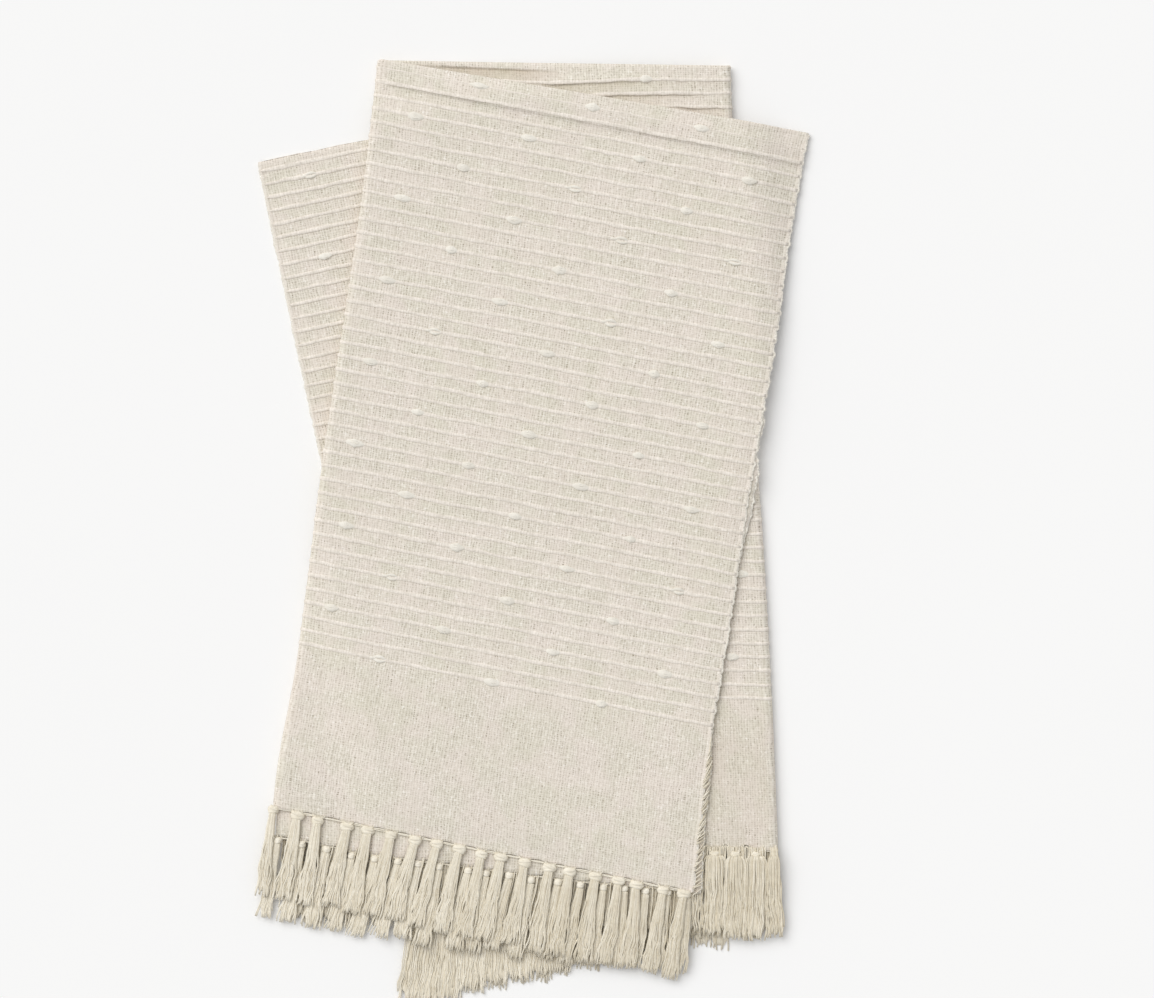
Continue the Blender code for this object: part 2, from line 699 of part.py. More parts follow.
def main():
    for old in list(bpy.data.objects):
        bpy.data.objects.remove(old, do_unlink=True)
    build_throw(cotton("ecru_weave", (0.77, 0.72, 0.63), 0.95))
    for row in ROWS:
        name = "fringe_yarn_{}_{}".format(row["panel"], row["half"])
        build_fringe(row, cotton(name, (0.62, 0.56, 0.44), 0.95))


main()
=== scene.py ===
"""The looks of a folded cotton throw: ribbed weave, slub nubs, looped selvedges and knotted tassels.

The cloth is one thin sheet on the folds of its frame node. It is folded in half across its width
and then twice along its length, into a top, a middle and a bottom panel, fanned like an open map.
Plan frame: +X right, +Y towards the half fold, +Z up, with the bottom panel on z = 0.
"""

import math

import bmesh
import bpy
import numpy as np
from mathutils.geometry import delaunay_2d_cdt
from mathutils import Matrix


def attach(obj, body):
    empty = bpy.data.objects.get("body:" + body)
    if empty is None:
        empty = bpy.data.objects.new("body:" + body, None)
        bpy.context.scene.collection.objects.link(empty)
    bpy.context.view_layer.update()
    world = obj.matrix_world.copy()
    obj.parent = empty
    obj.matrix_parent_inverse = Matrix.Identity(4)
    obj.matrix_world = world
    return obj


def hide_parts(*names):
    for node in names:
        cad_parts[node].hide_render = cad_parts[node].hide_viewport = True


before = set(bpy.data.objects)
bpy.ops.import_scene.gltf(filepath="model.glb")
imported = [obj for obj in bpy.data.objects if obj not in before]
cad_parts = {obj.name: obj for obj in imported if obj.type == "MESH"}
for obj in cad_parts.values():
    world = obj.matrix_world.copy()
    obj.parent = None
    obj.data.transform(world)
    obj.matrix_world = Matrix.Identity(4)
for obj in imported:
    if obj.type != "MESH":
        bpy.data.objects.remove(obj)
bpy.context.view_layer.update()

MM = 0.001

# The sheet as woven.
WIDTH = 1270 * MM
LENGTH = {"front": 744 * MM, "back": 780 * MM}
SIGN = {"front": 1, "back": -1}
CLOTH = 1.8 * MM
WARP_PITCH = 2.85 * MM
WEFT_PITCH = 2.1 * MM

# Raised weft ribs: the first rib of the front half lies FIRST_RIB from the fold.
RIB_PITCH = 13.6 * MM
FIRST_RIB = 9.0 * MM
FRONT_RIBS = 43
BACK_RIBS = 47
RIB_HALF_WIDTH = {"top": 2.0 * MM, "middle": 1.9 * MM, "bottom": 2.0 * MM}
RIB_RISE = {"top": 0.6 * MM, "middle": 0.7 * MM, "bottom": 0.8 * MM}
# Some ribs are flat between two panel coordinates. A rib's section is in half widths and rises.
FLAT_RIBS = {0: (0.0, 1.2), -1: (2.0, 3.0)}
FLAT_RIB = 0.35
RIB_SECTION = [(-1.0, -0.4), (-0.84, 0.42), (-0.4, 0.93), (0.4, 0.93), (0.84, 0.42), (1.0, -0.4)]
UNDERSIDE_ROOM = 0.6 * MM
SAG_BETWEEN_RIBS = {"top": 0.12 * MM, "middle": 0.18 * MM, "bottom": 0.32 * MM}

# Slub nubs on every third rib, in a brick layout. The shifts of the top panel's are (rib, millimetres),
# and a few nubs of the middle panel have places of their own: rib and panel coordinate.
NUB_SPACING = 56.3 * MM
NUB_LENGTH = 13.0 * MM
NUB_WIDTH = 8.2 * MM
NUB_RISE = 2.2 * MM
SUNK = 0.2 * MM
RIBS_PER_NUB_ROW = 3
NUB_KINDS = {"lens": 0.58, "round": 0.24, "ring": 0.18}
NUB_MARGIN = 0.03
TOP_NUB_SHIFT = [(0, 9), (6, 5.5), (12, 4), (18, 1), (24, 0)]
BOTTOM_NUB_SHIFT = 15 * MM
MIDDLE_NUBS = {-2: 2.77, -38: 2.962, -44: 2.936}

# Where the two lower panels lie open to view: the half of the sheet, the distances from the half fold
# between which they do, the width that shows at a distance, the panel's width, all in millimetres, and the
# panel coordinates of the panel's start and the strip's end.
STRIP_COLUMNS = ("half", "between", "shows", "width", "panel")
OPEN_STRIPS = [dict(zip(STRIP_COLUMNS, strip)) for strip in (
    ("front", (0, 330), [(0, 119), (330, 4)], 455, (4, 5.0)),
    ("back", (8, 50), [(15, 265), (43, 110)], 355, (2, 3.4)),
    ("back", (405, 780), [(405, 14), (780, 89)], 480, (2, 3.4)),
)]
TOP_RIB_END = 1.6
UNDERSIDE_RIBS = (3.4, 4.998)

# Mean widths of the panels.
TOP_WIDTH = 426 * MM
TOP_WIDTH_LOST = 10 * MM
BOTTOM_WIDTH = 440 * MM

# The folded stack: a pair of layers takes PAIR_PITCH of height.
LAYER_PITCH = 3.4 * MM
PAIR_PITCH = 7.6 * MM
OUTER = (LAYER_PITCH + CLOTH) / 2
INNER = (LAYER_PITCH - CLOTH) / 2
FOLD_REACH = PAIR_PITCH / 2 + OUTER
HALF_FOLD_ARC = math.pi / 2 * OUTER
FOLD_CLEARANCE = 0.4 * MM
CALM_FOLD = 12 * MM
UNEVENNESS = 0.07

# Edges of the panels in plan, from the half fold to the hem: (x, y) in millimetres.
TOP_SELVEDGE = [
    (275, 394.5), (271, 378), (266, 350), (257, 300), (241, 188), (215, 38), (195, -96), (180, -187),
    (168, -277), (159, -359),
]
LEFT_FOLD = [(-153.5, 467.5), (-163, 378), (-208, 67), (-233, -124), (-257, -275), (-258, -305)]
RIGHT_FOLD = [(197, 461), (199, 411), (226, 35), (233, -71), (239, -187), (244.5, -317)]
BOTTOM_SELVEDGE = [(-272.5, 365.5), (-209, 67), (-115, -378)]

# Length of each edge from the half fold to the hem, for the two halves of the sheet, in millimetres.
HEM_AT = {
    "front": {"top_selvedge": 762, "left_fold": 750, "right_fold": 755, "bottom_selvedge": 759},
    "back": {"top_selvedge": 763, "left_fold": 779, "right_fold": 780, "bottom_selvedge": 767},
}

# How far the back layer shows past the front one at the top selvedge: (share of its length, millimetres).
BACK_SHOWS = [
    (0.0, -1.5), (0.36, -1.5), (0.39, 2.6), (0.415, 0.0), (0.44, 4.0), (0.48, 5.0), (0.56, 0.5),
    (0.62, -1.5), (0.78, -1.5), (0.82, 2.5), (0.92, 5.0), (1.0, 8.0),
]

# The half fold sits this much further along the sheet: (panel coordinate, millimetres).
FOLD_SHIFT = [
    (0.0, -9.5), (1.0, -1.0), (1.6, 0.0), (2.0, 0.0), (2.2, 1.5), (2.42, 3.4), (2.5, 3.8), (2.6, 1.8),
    (2.69, -0.3), (2.85, -2.2), (3.0, -2.5), (4.0, -2.5), (4.6, -15.0), (5.0, -15.5),
]

# The top panel puffs up behind the half fold: (distance from it, rise) in millimetres, and its fade.
TOP_ROLL = [
    (0, 0), (2.6, 1.0), (9, 2.0), (16, 2.2), (21, 2.1), (23.4, 1.9), (24.6, 0.6), (26, -0.2), (30, -0.3),
    (41, 0.1), (50, 0),
]
TOP_FADE = [(0.0, 0.8), (0.5, 1.0), (0.9, 0.95), (0.97, 0.5), (1.0, 0.0)]
CREASE_ROWS = (23.2, 24.0, 24.8, 26.0)

# Pleats of the middle panel behind the half fold, each just past a rib: the rib's number from the fold,
# how far past it, the pleat's depth and run, how strong its shade is and how far it reaches, and how the
# pleat fades across the panel.
PLEAT_COLUMNS = ("rib", "past", "depth", "run", "shade", "reach", "fade")
PLEATS = [dict(zip(PLEAT_COLUMNS, one)) for one in (
    (1, 1.5, 2.6, 11, 0.9, 14, [(2.1, 0), (2.22, 1), (2.42, 1), (2.54, 0)]),
    (2, 2.0, 2.0, 6, 0.7, 8, [(2.44, 0), (2.52, 1), (2.7, 1), (2.78, 0.35), (3.0, 0.2)]),
    (3, 2.0, 1.6, 4, 0.5, 4, [(2.62, 0), (2.68, 1), (2.88, 1), (2.95, 0.1)]),
    (4, 2.0, 1.5, 4, 0.5, 4, [(2.84, 0), (2.89, 1), (3.0, 0.6)]),
)]
PLEAT_STEP = 1.1
PLEAT_RIDGE = 0.35
RIDGE_WIDTH = 3.0
PLEATS_FROM = 2.6
# Painted shade down the middle panel's back: (distance behind the half fold in millimetres, share).
MIDDLE_SHADE = [(600, 0.0), (680, 0.26)]

# The shade between the top panel's layers: its strength, how far behind the half fold it starts and how
# far from the selvedge it ends.
LAYER_SHADE = 0.7
LAYER_SHADE_FROM = 620 * MM
LAYER_SHADE_TO = 11 * MM

# Where a panel runs past the one below it, it sinks: (distance past its edge in mm, share of height left).
# The edges are taken as straight lines. "bottom", "middle" and "top" are the panels' hems.
SINK_LEFT = [(8, 1.0), (20, 0.82), (40, 0.28), (58, 0.0)]
SINK_TOP = [(6, 1.0), (18, 0.82), (38, 0.28), (54, 0.0)]
SINK_RIGHT = [(12, 1.0), (28, 0.8), (50, 0.28), (72, 0.0)]
SINK_HEM = [(6, 1.0), (98, 0.64), (140, 0.0)]
THIN_OUT = [(6, 1.0), (90, 0.56)]
SINK_LINES = {
    "left": (BOTTOM_SELVEDGE[0], BOTTOM_SELVEDGE[-1]),
    "fold": (RIGHT_FOLD[0], BOTTOM_SELVEDGE[0]),
    "right": (RIGHT_FOLD[-1], RIGHT_FOLD[0]),
    "bottom": (BOTTOM_SELVEDGE[-1], RIGHT_FOLD[-1]),
    "middle": (LEFT_FOLD[-1], RIGHT_FOLD[-1]),
    "top": (LEFT_FOLD[-1], TOP_SELVEDGE[-1]),
}

# Selvedges: the yarn of each rib turns in a loop with a notch beside it, and the edge is a rolled rim.
# The rim is a rise and a groove: (height, distance from the edge, width) in millimetres. LOOSE_TURNS are
# the first and last distance of the loose turns from the half fold and their spacing, in millimetres.
LOOP_REACH = 0.8 * MM
LOOP_WIDTH = 2.1 * MM
NOTCH_DEPTH = 0.7 * MM
NOTCH_WIDTH = 1.1 * MM
NOTCH_PAST_RIB = 3.7
BOTTOM_LOOPS = 0.35
LOOP_BAND = 5.0 * MM
RIM = ((0.6, 0.9, 1.3), (-0.3, 3.6, 1.2))
RIB_END = 5.0 * MM
SELVEDGE_YARN = 1.05 * MM
SELVEDGE_BEAD = 3.5 * MM
SELVEDGE_STEP = 0.85 * MM
LOOSE_TURNS = (590, 741, 2.3)

# Steps of the meshes: rows of the plain cloth, and points along a rib, in a fold and underneath.
PLAIN_STEP = 5 * MM
FINE_ROWS = (-5.0, -2.2, 0, 2.2, 5.0)
SOME_ROWS = (-4.6, 0, 4.6)
RIB_STEP = 3.6 * MM
FOLD_RIB_STEP = 1.2 * MM
UNDERSIDE_RIB_STEP = 12 * MM

# The upper layer of each pair comes down on the lower one at selvedges and hems. PRESS_RAMP is the part
# of a panel's width over which it does so from the folds.
PRESS = 1.2 * MM
PRESS_REACH = 14 * MM
PRESS_FROM_FOLD = 20 * MM
PRESS_RAMP = 0.06

# Unevenness, as smooth random fields: strength, size of the cells in x and y, and seed. The fields along
# a line, and those of a rib's own, have cells of 1 in y.
UNEVEN = {
    "fine_relief": (0.13 * MM, 8 * MM, 6 * MM, 8),
    "broad_relief": (0.26 * MM, 46 * MM, 38 * MM, 9),
    "rows": (0.55 * MM, 34 * MM, 13.6 * MM, 3),
    "loop": (0.7, 1.0, 1.0, 12),
    "notch_place": (0.9, 1.0, 1.0, 14),
    "notch_depth": (1.1, 1.0, 1.0, 15),
    "weft_turns": (0.34 * MM, 1.9 * MM, 1.0, 16),
    "edge_wander": (0.6 * MM, 11 * MM, 1.0, 13),
    "loose_edge": (0.45 * MM, 3.1 * MM, 1.0, 17),
    "rib_line": (0.36 * MM, 10 * MM, 1.0, 7),
    "rib_thickness": (0.24, 13 * MM, 1.0, 5),
    "rib_slub": (1.0, 24 * MM, 1.0, 6),
    "selvedge_bead": (0.9 * MM, 9.0 * MM, 1.0, 61),
    "selvedge_swell": (1.0, 6.5 * MM, 1.0, 71),
    "hem_weft": (0.4 * MM, 7 * MM, 1.0, 31),
}

# Fringe: equal tassels along each end, each a knot and loose strands. UPPER_STRANDS, SHORT_STRANDS and
# STRAY_STRANDS are shares of a tassel's strands.
TASSELS = 57
TASSEL_PHASE = {"front": 0.42, "back": 0.33}
PHASE_SEED = {"front": 41, "back": 42}
CORNER_SHIFT = 7 * MM
CORNER_REACH = 70 * MM
HEM_MEAN = {"top": 0.0, "middle": -2.0 * MM, "bottom": 0.0}
HEM_DIP = {"top": 1.0 * MM, "middle": 2.6 * MM, "bottom": 1.0 * MM}
HEM_BAND = 12 * MM
BACK_HEM_SAG = [(0.1, 0), (0.3, 4), (0.82, 4), (0.94, 0)]
BACK_SHIFT = [(2.3, 0), (2.7, -10), (3.1, -10), (3.5, 0)]
STRAND_RADIUS = 0.66 * MM
UPPER_STRANDS = 0.8
SHORT_STRANDS = 0.08
STRAY_STRANDS = 0.1
HIDDEN_ROW = ("middle", "back")
HIDDEN_TO = 145 * MM
HIDDEN_STRANDS = 10
KNOT_YARN = 1.7 * MM
# Knot tones by row: the knots of the top panel's back row are painted lighter, as if lit, so they stand out
# of the shade of the tassels over them.
KNOT_TONE = {"top_front": 0.66, "top_back": 1.05}
OTHER_KNOT_TONE = 0.55
# Painted light and shade: fringe yarns are made lighter at the left and darker towards the right, by their
# place in X in millimetres.
LIGHT_FALLOFF_BY_X = [(-250, 0.1), (-120, 0.0), (0, -0.05), (60, -0.3), (250, -0.32)]

# The lean of the tassels by their place in X, and by panel the share of a tassel's width over which its
# warps leave the hem, its half width and height along its length, how round it is, how much its strands
# draw together in clumps and the height of its core. Waves of its strands: period and size in millimetres.
LEAN = {
    "top": [
        (-260, -0.15), (-220, -0.19), (-150, -0.24), (-70, -0.25), (30, -0.20), (110, -0.14), (160, -0.13),
    ],
    "middle": [(-250, -0.03), (170, -0.03), (215, -0.01), (240, 0.06)],
    "bottom": [(-115, -0.17), (-75, -0.06), (240, -0.04)],
}
GATHER = {"top": 0.24, "middle": 0.38, "bottom": 0.3}
TASSEL_WIDTH = {
    "top": [(0.0, 0.4), (0.1, 0.46), (0.3, 0.58), (0.6, 0.76), (1.0, 0.95)],
    "middle": [(0.0, 0.6), (0.04, 0.82), (0.1, 0.94), (0.4, 0.97), (1.0, 1.0)],
    "bottom": [(0.0, 0.5), (0.12, 0.75), (0.3, 0.95), (0.6, 1.0), (1.0, 1.0)],
}
TASSEL_HEIGHT = [(0.0, 1.15), (0.3, 1.1), (0.6, 0.8), (1.0, 0.42)]
ROUNDNESS = {"top": 0.5, "middle": 0.2, "bottom": 0.3}
CLUMPING = {"top": 0.28, "middle": 0.5, "bottom": 0.3}
CORE_HEIGHT = {"top": 0.56, "middle": 0.2, "bottom": 0.4}
CORE_END = 0.95
WAVES = ((11.0, 0.22), (21.0, 0.48), (43.0, 0.95))

# Turns of yarn round a knot: the place along it, the slant and the width.
FULL_KNOT = ((-0.14, 0.10, 0.98), (0.24, -0.06, 0.84))
ROUND_KNOT = ((-0.05, 0.06, 0.92), (0.16, -0.04, 0.84))

# The six rows, with lengths in millimetres. LOWER and UPPER are the middle of a row's height in the pair
# and its thickness. "knot" is a knot's width, length and height, "drop" how far it lies past the hem,
# "corner" how wide the tassel at the fold or selvedge is, "spread" half the width of a tassel's tip,
# "loose" the strands beside each tassel that no knot holds, and "light" the tone of the lightest strand.
LOWER = (1.55, 2.9)
UPPER = (5.25, 3.3)
ROW_COLUMNS = (
    "panel", "half", "centre", "thick", "length", "knot", "turns", "drop", "corner", "strands", "steps",
    "spread", "loose", "light",
)
ROWS = [dict(zip(ROW_COLUMNS, row)) for row in (
    ("bottom", "back", *LOWER, 80, (9.0, 8.0, 3.0), FULL_KNOT, 4, 1.0, 10, 11, 10, 0, 0.9),
    ("bottom", "front", *UPPER, 90, (9.5, 8.0, 4.6), FULL_KNOT, 4, 1.9, 22, 19, 13.5, 4, 1.0),
    ("middle", "front", *LOWER, 78, (9.0, 8.0, 3.0), FULL_KNOT, 4, 1.0, 10, 11, 10, 3, 0.9),
    ("middle", "back", *UPPER, 81, (11.0, 5.2, 4.6), FULL_KNOT, 3.4, 0.62, 30, 22, 12.5, 18, 1.05),
    ("top", "back", *LOWER, 76, (9.2, 7.8, 7.4), ROUND_KNOT, 3.8, 0.85, 22, 20, 9.0, 5, 1.0),
    ("top", "front", *UPPER, 81, (13.4, 8.6, 6.6), FULL_KNOT, 3.4, 0.78, 28, 23, 9.0, 0, 1.0),
)]

# Panel coordinate: 0 to 1 top panel, 1 to 2 left fold, 2 to 3 middle, 3 to 4 right fold, 4 to 5 bottom.
PANEL_SPAN = {"top": (0, 1), "middle": (2, 3), "bottom": (4, 5)}
TASSEL_SPAN = {"top": (0, 1.5), "middle": (1.5, 4.02), "bottom": (4.02, 5)}
SHEET_KNOTS = np.array([0, 418, 430, 842, 854, 1270]) * MM
END_MARGIN = {
    "top": (0.014, 0.014), "middle": (0.014, 0.014), "bottom": (0.014, 0.004),
    ("top", "back"): (0.032, 0.014),
}
FOLD_TASSEL = {"top": 0.3, "middle": 0.08}
NEAR = 1e-6

# The photograph's frame and scale: a pixel is PIXEL wide on the throw.
PHOTO_SIZE = (1154, 998)
PIXEL = 0.99 * MM
ORIGIN_PIXEL = (532, 530)
LENS = 135
SENSOR = 36
FOCUS_HEIGHT = 20 * MM


def table(rows, value):
    """Reads a two-column table at value, straight between its rows and level past its ends."""
    columns = np.array(rows, float)
    return np.interp(value, columns[:, 0], columns[:, 1])


def smooth_curve(at, values, where):
    """Smooth curve through rows of values placed at given distances, straight past its ends."""
    slope = np.gradient(values, at, axis=0)
    where = np.asarray(where, float)
    i = np.clip(np.searchsorted(at, where) - 1, 0, len(at) - 2)
    span = at[i + 1] - at[i]
    t = (where - at[i]) / span
    inside = np.clip(t, 0, 1)[..., None]
    span = span[..., None]
    curve = (
        (2 * inside**3 - 3 * inside**2 + 1) * values[i]
        + (inside**3 - 2 * inside**2 + inside) * span * slope[i]
        + (3 * inside**2 - 2 * inside**3) * values[i + 1]
        + (inside**3 - inside**2) * span * slope[i + 1]
    )
    past = (t[..., None] - inside) * span
    return curve + past * np.where(past > 0, slope[i + 1], slope[i])


def smooth_table(rows, value):
    """Reads a two-column table as a smooth curve, level past its ends."""
    columns = np.array(rows, float)
    value = np.clip(value, columns[0, 0], columns[-1, 0])
    return smooth_curve(columns[:, 0], columns[:, 1:], value)[..., 0]


def soft_noise(x, y, cell_x, cell_y, seed):
    """Smooth random field from -1 to 1, with one random value at each corner of a grid of cells."""
    corners = np.random.RandomState(seed).uniform(-1, 1, (97, 97))
    a, b = np.asarray(x) / cell_x, np.asarray(y) / cell_y
    i, j = np.floor(a).astype(int), np.floor(b).astype(int)
    s, t = a - i, b - j
    s, t = s * s * (3 - 2 * s), t * t * (3 - 2 * t)
    count = len(corners)
    near, far = j % count, (j + 1) % count
    low, high = i % count, (i + 1) % count
    first = corners[low, near] * (1 - s) + corners[high, near] * s
    second = corners[low, far] * (1 - s) + corners[high, far] * s
    return first * (1 - t) + second * t


def uneven(kind, x, y=0.0, more=0):
    """One of the random fields of UNEVEN, times its strength."""
    strength, cell_x, cell_y, seed = UNEVEN[kind]
    return strength * soft_noise(x, y, cell_x, cell_y, seed + more)


def bell(distance, width):
    """1 at no distance, with a smooth fall to either side."""
    return np.exp(-((distance / width) ** 2))


def unit(vectors):
    return vectors / np.linalg.norm(vectors, axis=-1, keepdims=True)


def edge_curve(points, distance):
    """Plan point at a distance along an edge, on a smooth curve through the edge's points."""
    knots = np.array(points, float) * MM
    chord = np.concatenate([[0], np.cumsum(np.linalg.norm(np.diff(knots, axis=0), axis=1))])
    return smooth_curve(chord, knots, distance)


def edge_normal(points, distance, side):
    """Unit plan vector square to an edge: side is 1 for the right of its run, -1 for the left."""
    step = 2 * MM
    run = unit(edge_curve(points, distance + step) - edge_curve(points, distance - step))
    return side * np.stack([-run[..., 1], run[..., 0]], axis=-1)


def sink(rows, line, x, y):
    """Share of a height that is left at a plan point, by its distance past one of SINK_LINES."""
    (ax, ay), (bx, by) = np.array(SINK_LINES[line], float) * MM
    length = math.hypot(bx - ax, by - ay)
    return table(rows, ((x - ax) * (by - ay) - (y - ay) * (bx - ax)) / length / MM)


def panel_floor(panel, x, y):
    """Height of the surface on which a panel lies: what is left there of the pairs below it."""
    if panel == "bottom":
        return np.zeros_like(x)
    sides = sink(SINK_LEFT, "left", x, y) * sink(SINK_RIGHT, "right", x, y)
    under = sides * sink(SINK_TOP, "fold", x, y) * sink(SINK_HEM, "bottom", x, y)
    if panel == "top":
        under = under + sink(SINK_RIGHT, "right", x, y) * sink(SINK_HEM, "middle", x, y)
    return under * PAIR_PITCH


def behind_fold(panel_at, along):
    """Distance of a place of the back half behind the half fold's visible edge, in millimetres."""
    return (fold_line(panel_at) - along - HALF_FOLD_ARC + OUTER) / MM


def underneath(panel_at, along):
    """Whether a place is on the side of the bottom panel that lies on the floor."""
    return (panel_at > 3.5) & (along < 0)


def settle(points):
    """Makes the stack a little uneven, by a slow wave that scales every height alike."""
    x, y, z = points[..., 0], points[..., 1], points[..., 2]
    wave = np.sin(9.1 * x + 5.3 * y + 0.6) * np.cos(4.7 * x - 11.9 * y + 1.1)
    return np.stack([x, y, z * (1 + UNEVENNESS * wave)], axis=-1)


def fold_line(panel_at):
    """Place of the half fold along the sheet."""
    return table(FOLD_SHIFT, panel_at) * MM


def edge_distances(panel_at, along, reach):
    """Distances from the half fold along the four panel edges, and the offset from the pair's middle."""
    fold = fold_line(panel_at)
    signed = along - fold
    front = signed > 0
    sign = np.where(front, 1.0, -1.0)
    whole = np.where(front, LENGTH["front"] - fold, LENGTH["back"] + fold)
    share = np.clip((np.abs(signed) - HALF_FOLD_ARC) / (whole - HALF_FOLD_ARC), 0, None)
    turn = np.clip(np.abs(signed) / HALF_FOLD_ARC, 0, 1) * math.pi / 2
    near = OUTER - reach * np.cos(turn)
    offset = sign * reach * np.sin(turn)
    distances = {}
    for edge in HEM_AT["front"]:
        hem = np.where(front, HEM_AT["front"][edge], HEM_AT["back"][edge]) * MM
        distances[edge] = near + share * (hem - OUTER)
    return distances, offset, share, front


def pleat(distance, at, depth, run):
    """Profile of a pleat: a ridge, a sharp step down at its place, and a slow rise behind it."""
    ridge = PLEAT_RIDGE * depth * bell(distance - at + RIDGE_WIDTH, RIDGE_WIDTH)
    step = 1 / (1 + np.exp(-(distance - at) / (PLEAT_STEP / 4)))
    rise = np.exp(-np.clip(distance - at, 0, None) / run)
    return ridge * (1 - step) - (1 - PLEAT_RIDGE) * depth * step * rise


def pleat_along(one):
    return FIRST_RIB - one["rib"] * RIB_PITCH - one["past"] * MM


def roll(panel_at, at, front):
    """Rise of the creases behind the half fold, on the top panel's front and the middle panel's back."""
    past_fold = (at["top_selvedge"] + fold_line(panel_at)) / MM
    top = smooth_table(TOP_ROLL, past_fold) * smooth_table(TOP_FADE, panel_at)
    distance = at["right_fold"] / MM
    middle = 0
    for one in PLEATS:
        shape = pleat(distance, behind_fold(panel_at, pleat_along(one)), one["depth"], one["run"])
        middle = middle + table(one["fade"], panel_at) * shape
    on_middle = ~front & (panel_at > 2) & (panel_at < 3)
    settled = np.clip(distance / PLEATS_FROM, 0, 1)
    return np.where(front & (panel_at <= 1), top, 0) * MM - np.where(on_middle, middle * settled, 0) * MM


def edge_gap(panel_at):
    """Distance from the nearer selvedge, across the sheet."""
    from_start, from_end = panel_at * TOP_WIDTH, (5 - panel_at) * BOTTOM_WIDTH
    return np.where(panel_at < 1, from_start, np.where(panel_at > 4, from_end, WIDTH))


def pressed(panel_at, start, at, front, facing, offset):
    """How far the upper layer of a flat panel comes down on the lower one, near selvedge and hem."""
    across = np.clip(np.minimum(panel_at - start, start + 1 - panel_at) / PRESS_RAMP, 0, 1)
    hem = np.where(front, HEM_AT["front"]["top_selvedge"], HEM_AT["back"]["top_selvedge"]) * MM
    to_hem = np.clip(hem - at["top_selvedge"], 0, None)
    by_hem = bell(to_hem, PRESS_REACH) * across * across * (3 - 2 * across)
    by_edge = bell(edge_gap(panel_at), PRESS_REACH) * (start != 2)
    clear_of_fold = np.clip(at["top_selvedge"] / PRESS_FROM_FOLD - 0.2, 0, 1)
    return PRESS * np.maximum(by_hem, by_edge) * clear_of_fold * (facing * offset > 0)


def fold_centre(points, distance, side):
    """Plan centre line of a lengthwise fold, inside its visible edge, and the direction outwards."""
    outward = edge_normal(points, distance, side)
    return edge_curve(points, distance) - outward * FOLD_REACH, outward


def sheet_point(panel_at, along, reach, relief=0.0, loops=0.0):
    """Points of the folded sheet: reach is OUTER for its right side and INNER for its wrong side."""
    panel_at, along = np.broadcast_arrays(np.asarray(panel_at, float), np.asarray(along, float))
    at, offset, share, front = edge_distances(panel_at, along, reach)
    offset = offset + np.sign(offset) * relief + roll(panel_at, at, front)
    selvedge = edge_curve(TOP_SELVEDGE, at["top_selvedge"])
    selvedge[..., 0] += np.where(front, 0, smooth_table(BACK_SHOWS, share)) * MM + loops
    end = edge_curve(BOTTOM_SELVEDGE, at["bottom_selvedge"])
    end[..., 0] -= loops
    left, left_out = fold_centre(LEFT_FOLD, at["left_fold"], -1)
    right, right_out = fold_centre(RIGHT_FOLD, at["right_fold"], 1)
    plan = np.zeros(panel_at.shape + (2,))
    z = np.zeros(panel_at.shape)
    middle = OUTER + PAIR_PITCH / 2
    spans = [("top", 0, selvedge, left, 1), ("middle", 2, left, right, -1), ("bottom", 4, right, end, 1)]
    for panel, start, near, far, facing in spans:
        here = (panel_at >= start) & (panel_at <= start + 1)
        t = (panel_at - start)[..., None]
        flat = near + (far - near) * t
        plan[here] = flat[here]
        level = panel_floor(panel, flat[..., 0], flat[..., 1]) + OUTER + facing * offset
        level = level - pressed(panel_at, start, at, front, facing, offset)
        z[here] = level[here]
    turns = [("middle", 1, left, left_out, 1), ("bottom", 3, right, right_out, -1)]
    for panel, start, centre, outward, facing in turns:
        here = (panel_at > start) & (panel_at < start + 1)
        angle = (panel_at - start) * math.pi
        radius = PAIR_PITCH / 2 + facing * offset
        bent = centre + outward * (radius * np.sin(angle))[..., None]
        plan[here] = bent[here]
        level = panel_floor(panel, centre[..., 0], centre[..., 1]) + middle + radius * np.cos(angle)
        z[here] = level[here]
    return settle(np.concatenate([plan, z[..., None]], axis=-1))


def unfolded_x(panel_at):
    """Place across the unfolded sheet, where every panel and fold has its own width."""
    return np.interp(panel_at, np.arange(len(SHEET_KNOTS)), SHEET_KNOTS)


def panel_coordinate(x):
    return np.interp(x, SHEET_KNOTS, np.arange(len(SHEET_KNOTS)))


def hem_places(half):
    """Panel coordinates of the tassels along one end of the sheet."""
    fine = np.linspace(0, 5, 501)
    along = np.full_like(fine, SIGN[half] * LENGTH[half])
    points = sheet_point(fine, along, (OUTER + INNER) / 2)
    run = np.concatenate([[0], np.cumsum(np.linalg.norm(np.diff(points, axis=0), axis=1))])
    shifts = np.random.RandomState(PHASE_SEED[half]).uniform(-0.14, 0.14, TASSELS)
    at = (np.arange(TASSELS) + TASSEL_PHASE[half] + shifts) / TASSELS * run[-1]
    at = at + CORNER_SHIFT * bell(at - np.interp(1.0, fine, run), CORNER_REACH)
    if half == "back":
        at = at + table(BACK_SHIFT, np.interp(at, run, fine)) * MM
    return np.interp(at, run, fine)


HEM_PLACES = {half: hem_places(half) for half in LENGTH}


def tassel_phase(panel_at, half):
    """1 at a knot's place along a hem and -1 halfway to the next knot."""
    number = np.interp(panel_at, HEM_PLACES[half], np.arange(TASSELS))
    return np.cos(2 * math.pi * number)


def rib_offset(along):
    """Distance of a place along the sheet from its nearest rib, and that rib's number."""
    number = np.round((along - FIRST_RIB) / RIB_PITCH)
    number = np.clip(number, -BACK_RIBS, FRONT_RIBS - 1)
    return along - FIRST_RIB - number * RIB_PITCH, number


def by_panel(values, panel_at):
    return np.select([panel_at < 1.5, panel_at < 3.5], [values["top"], values["middle"]], values["bottom"])


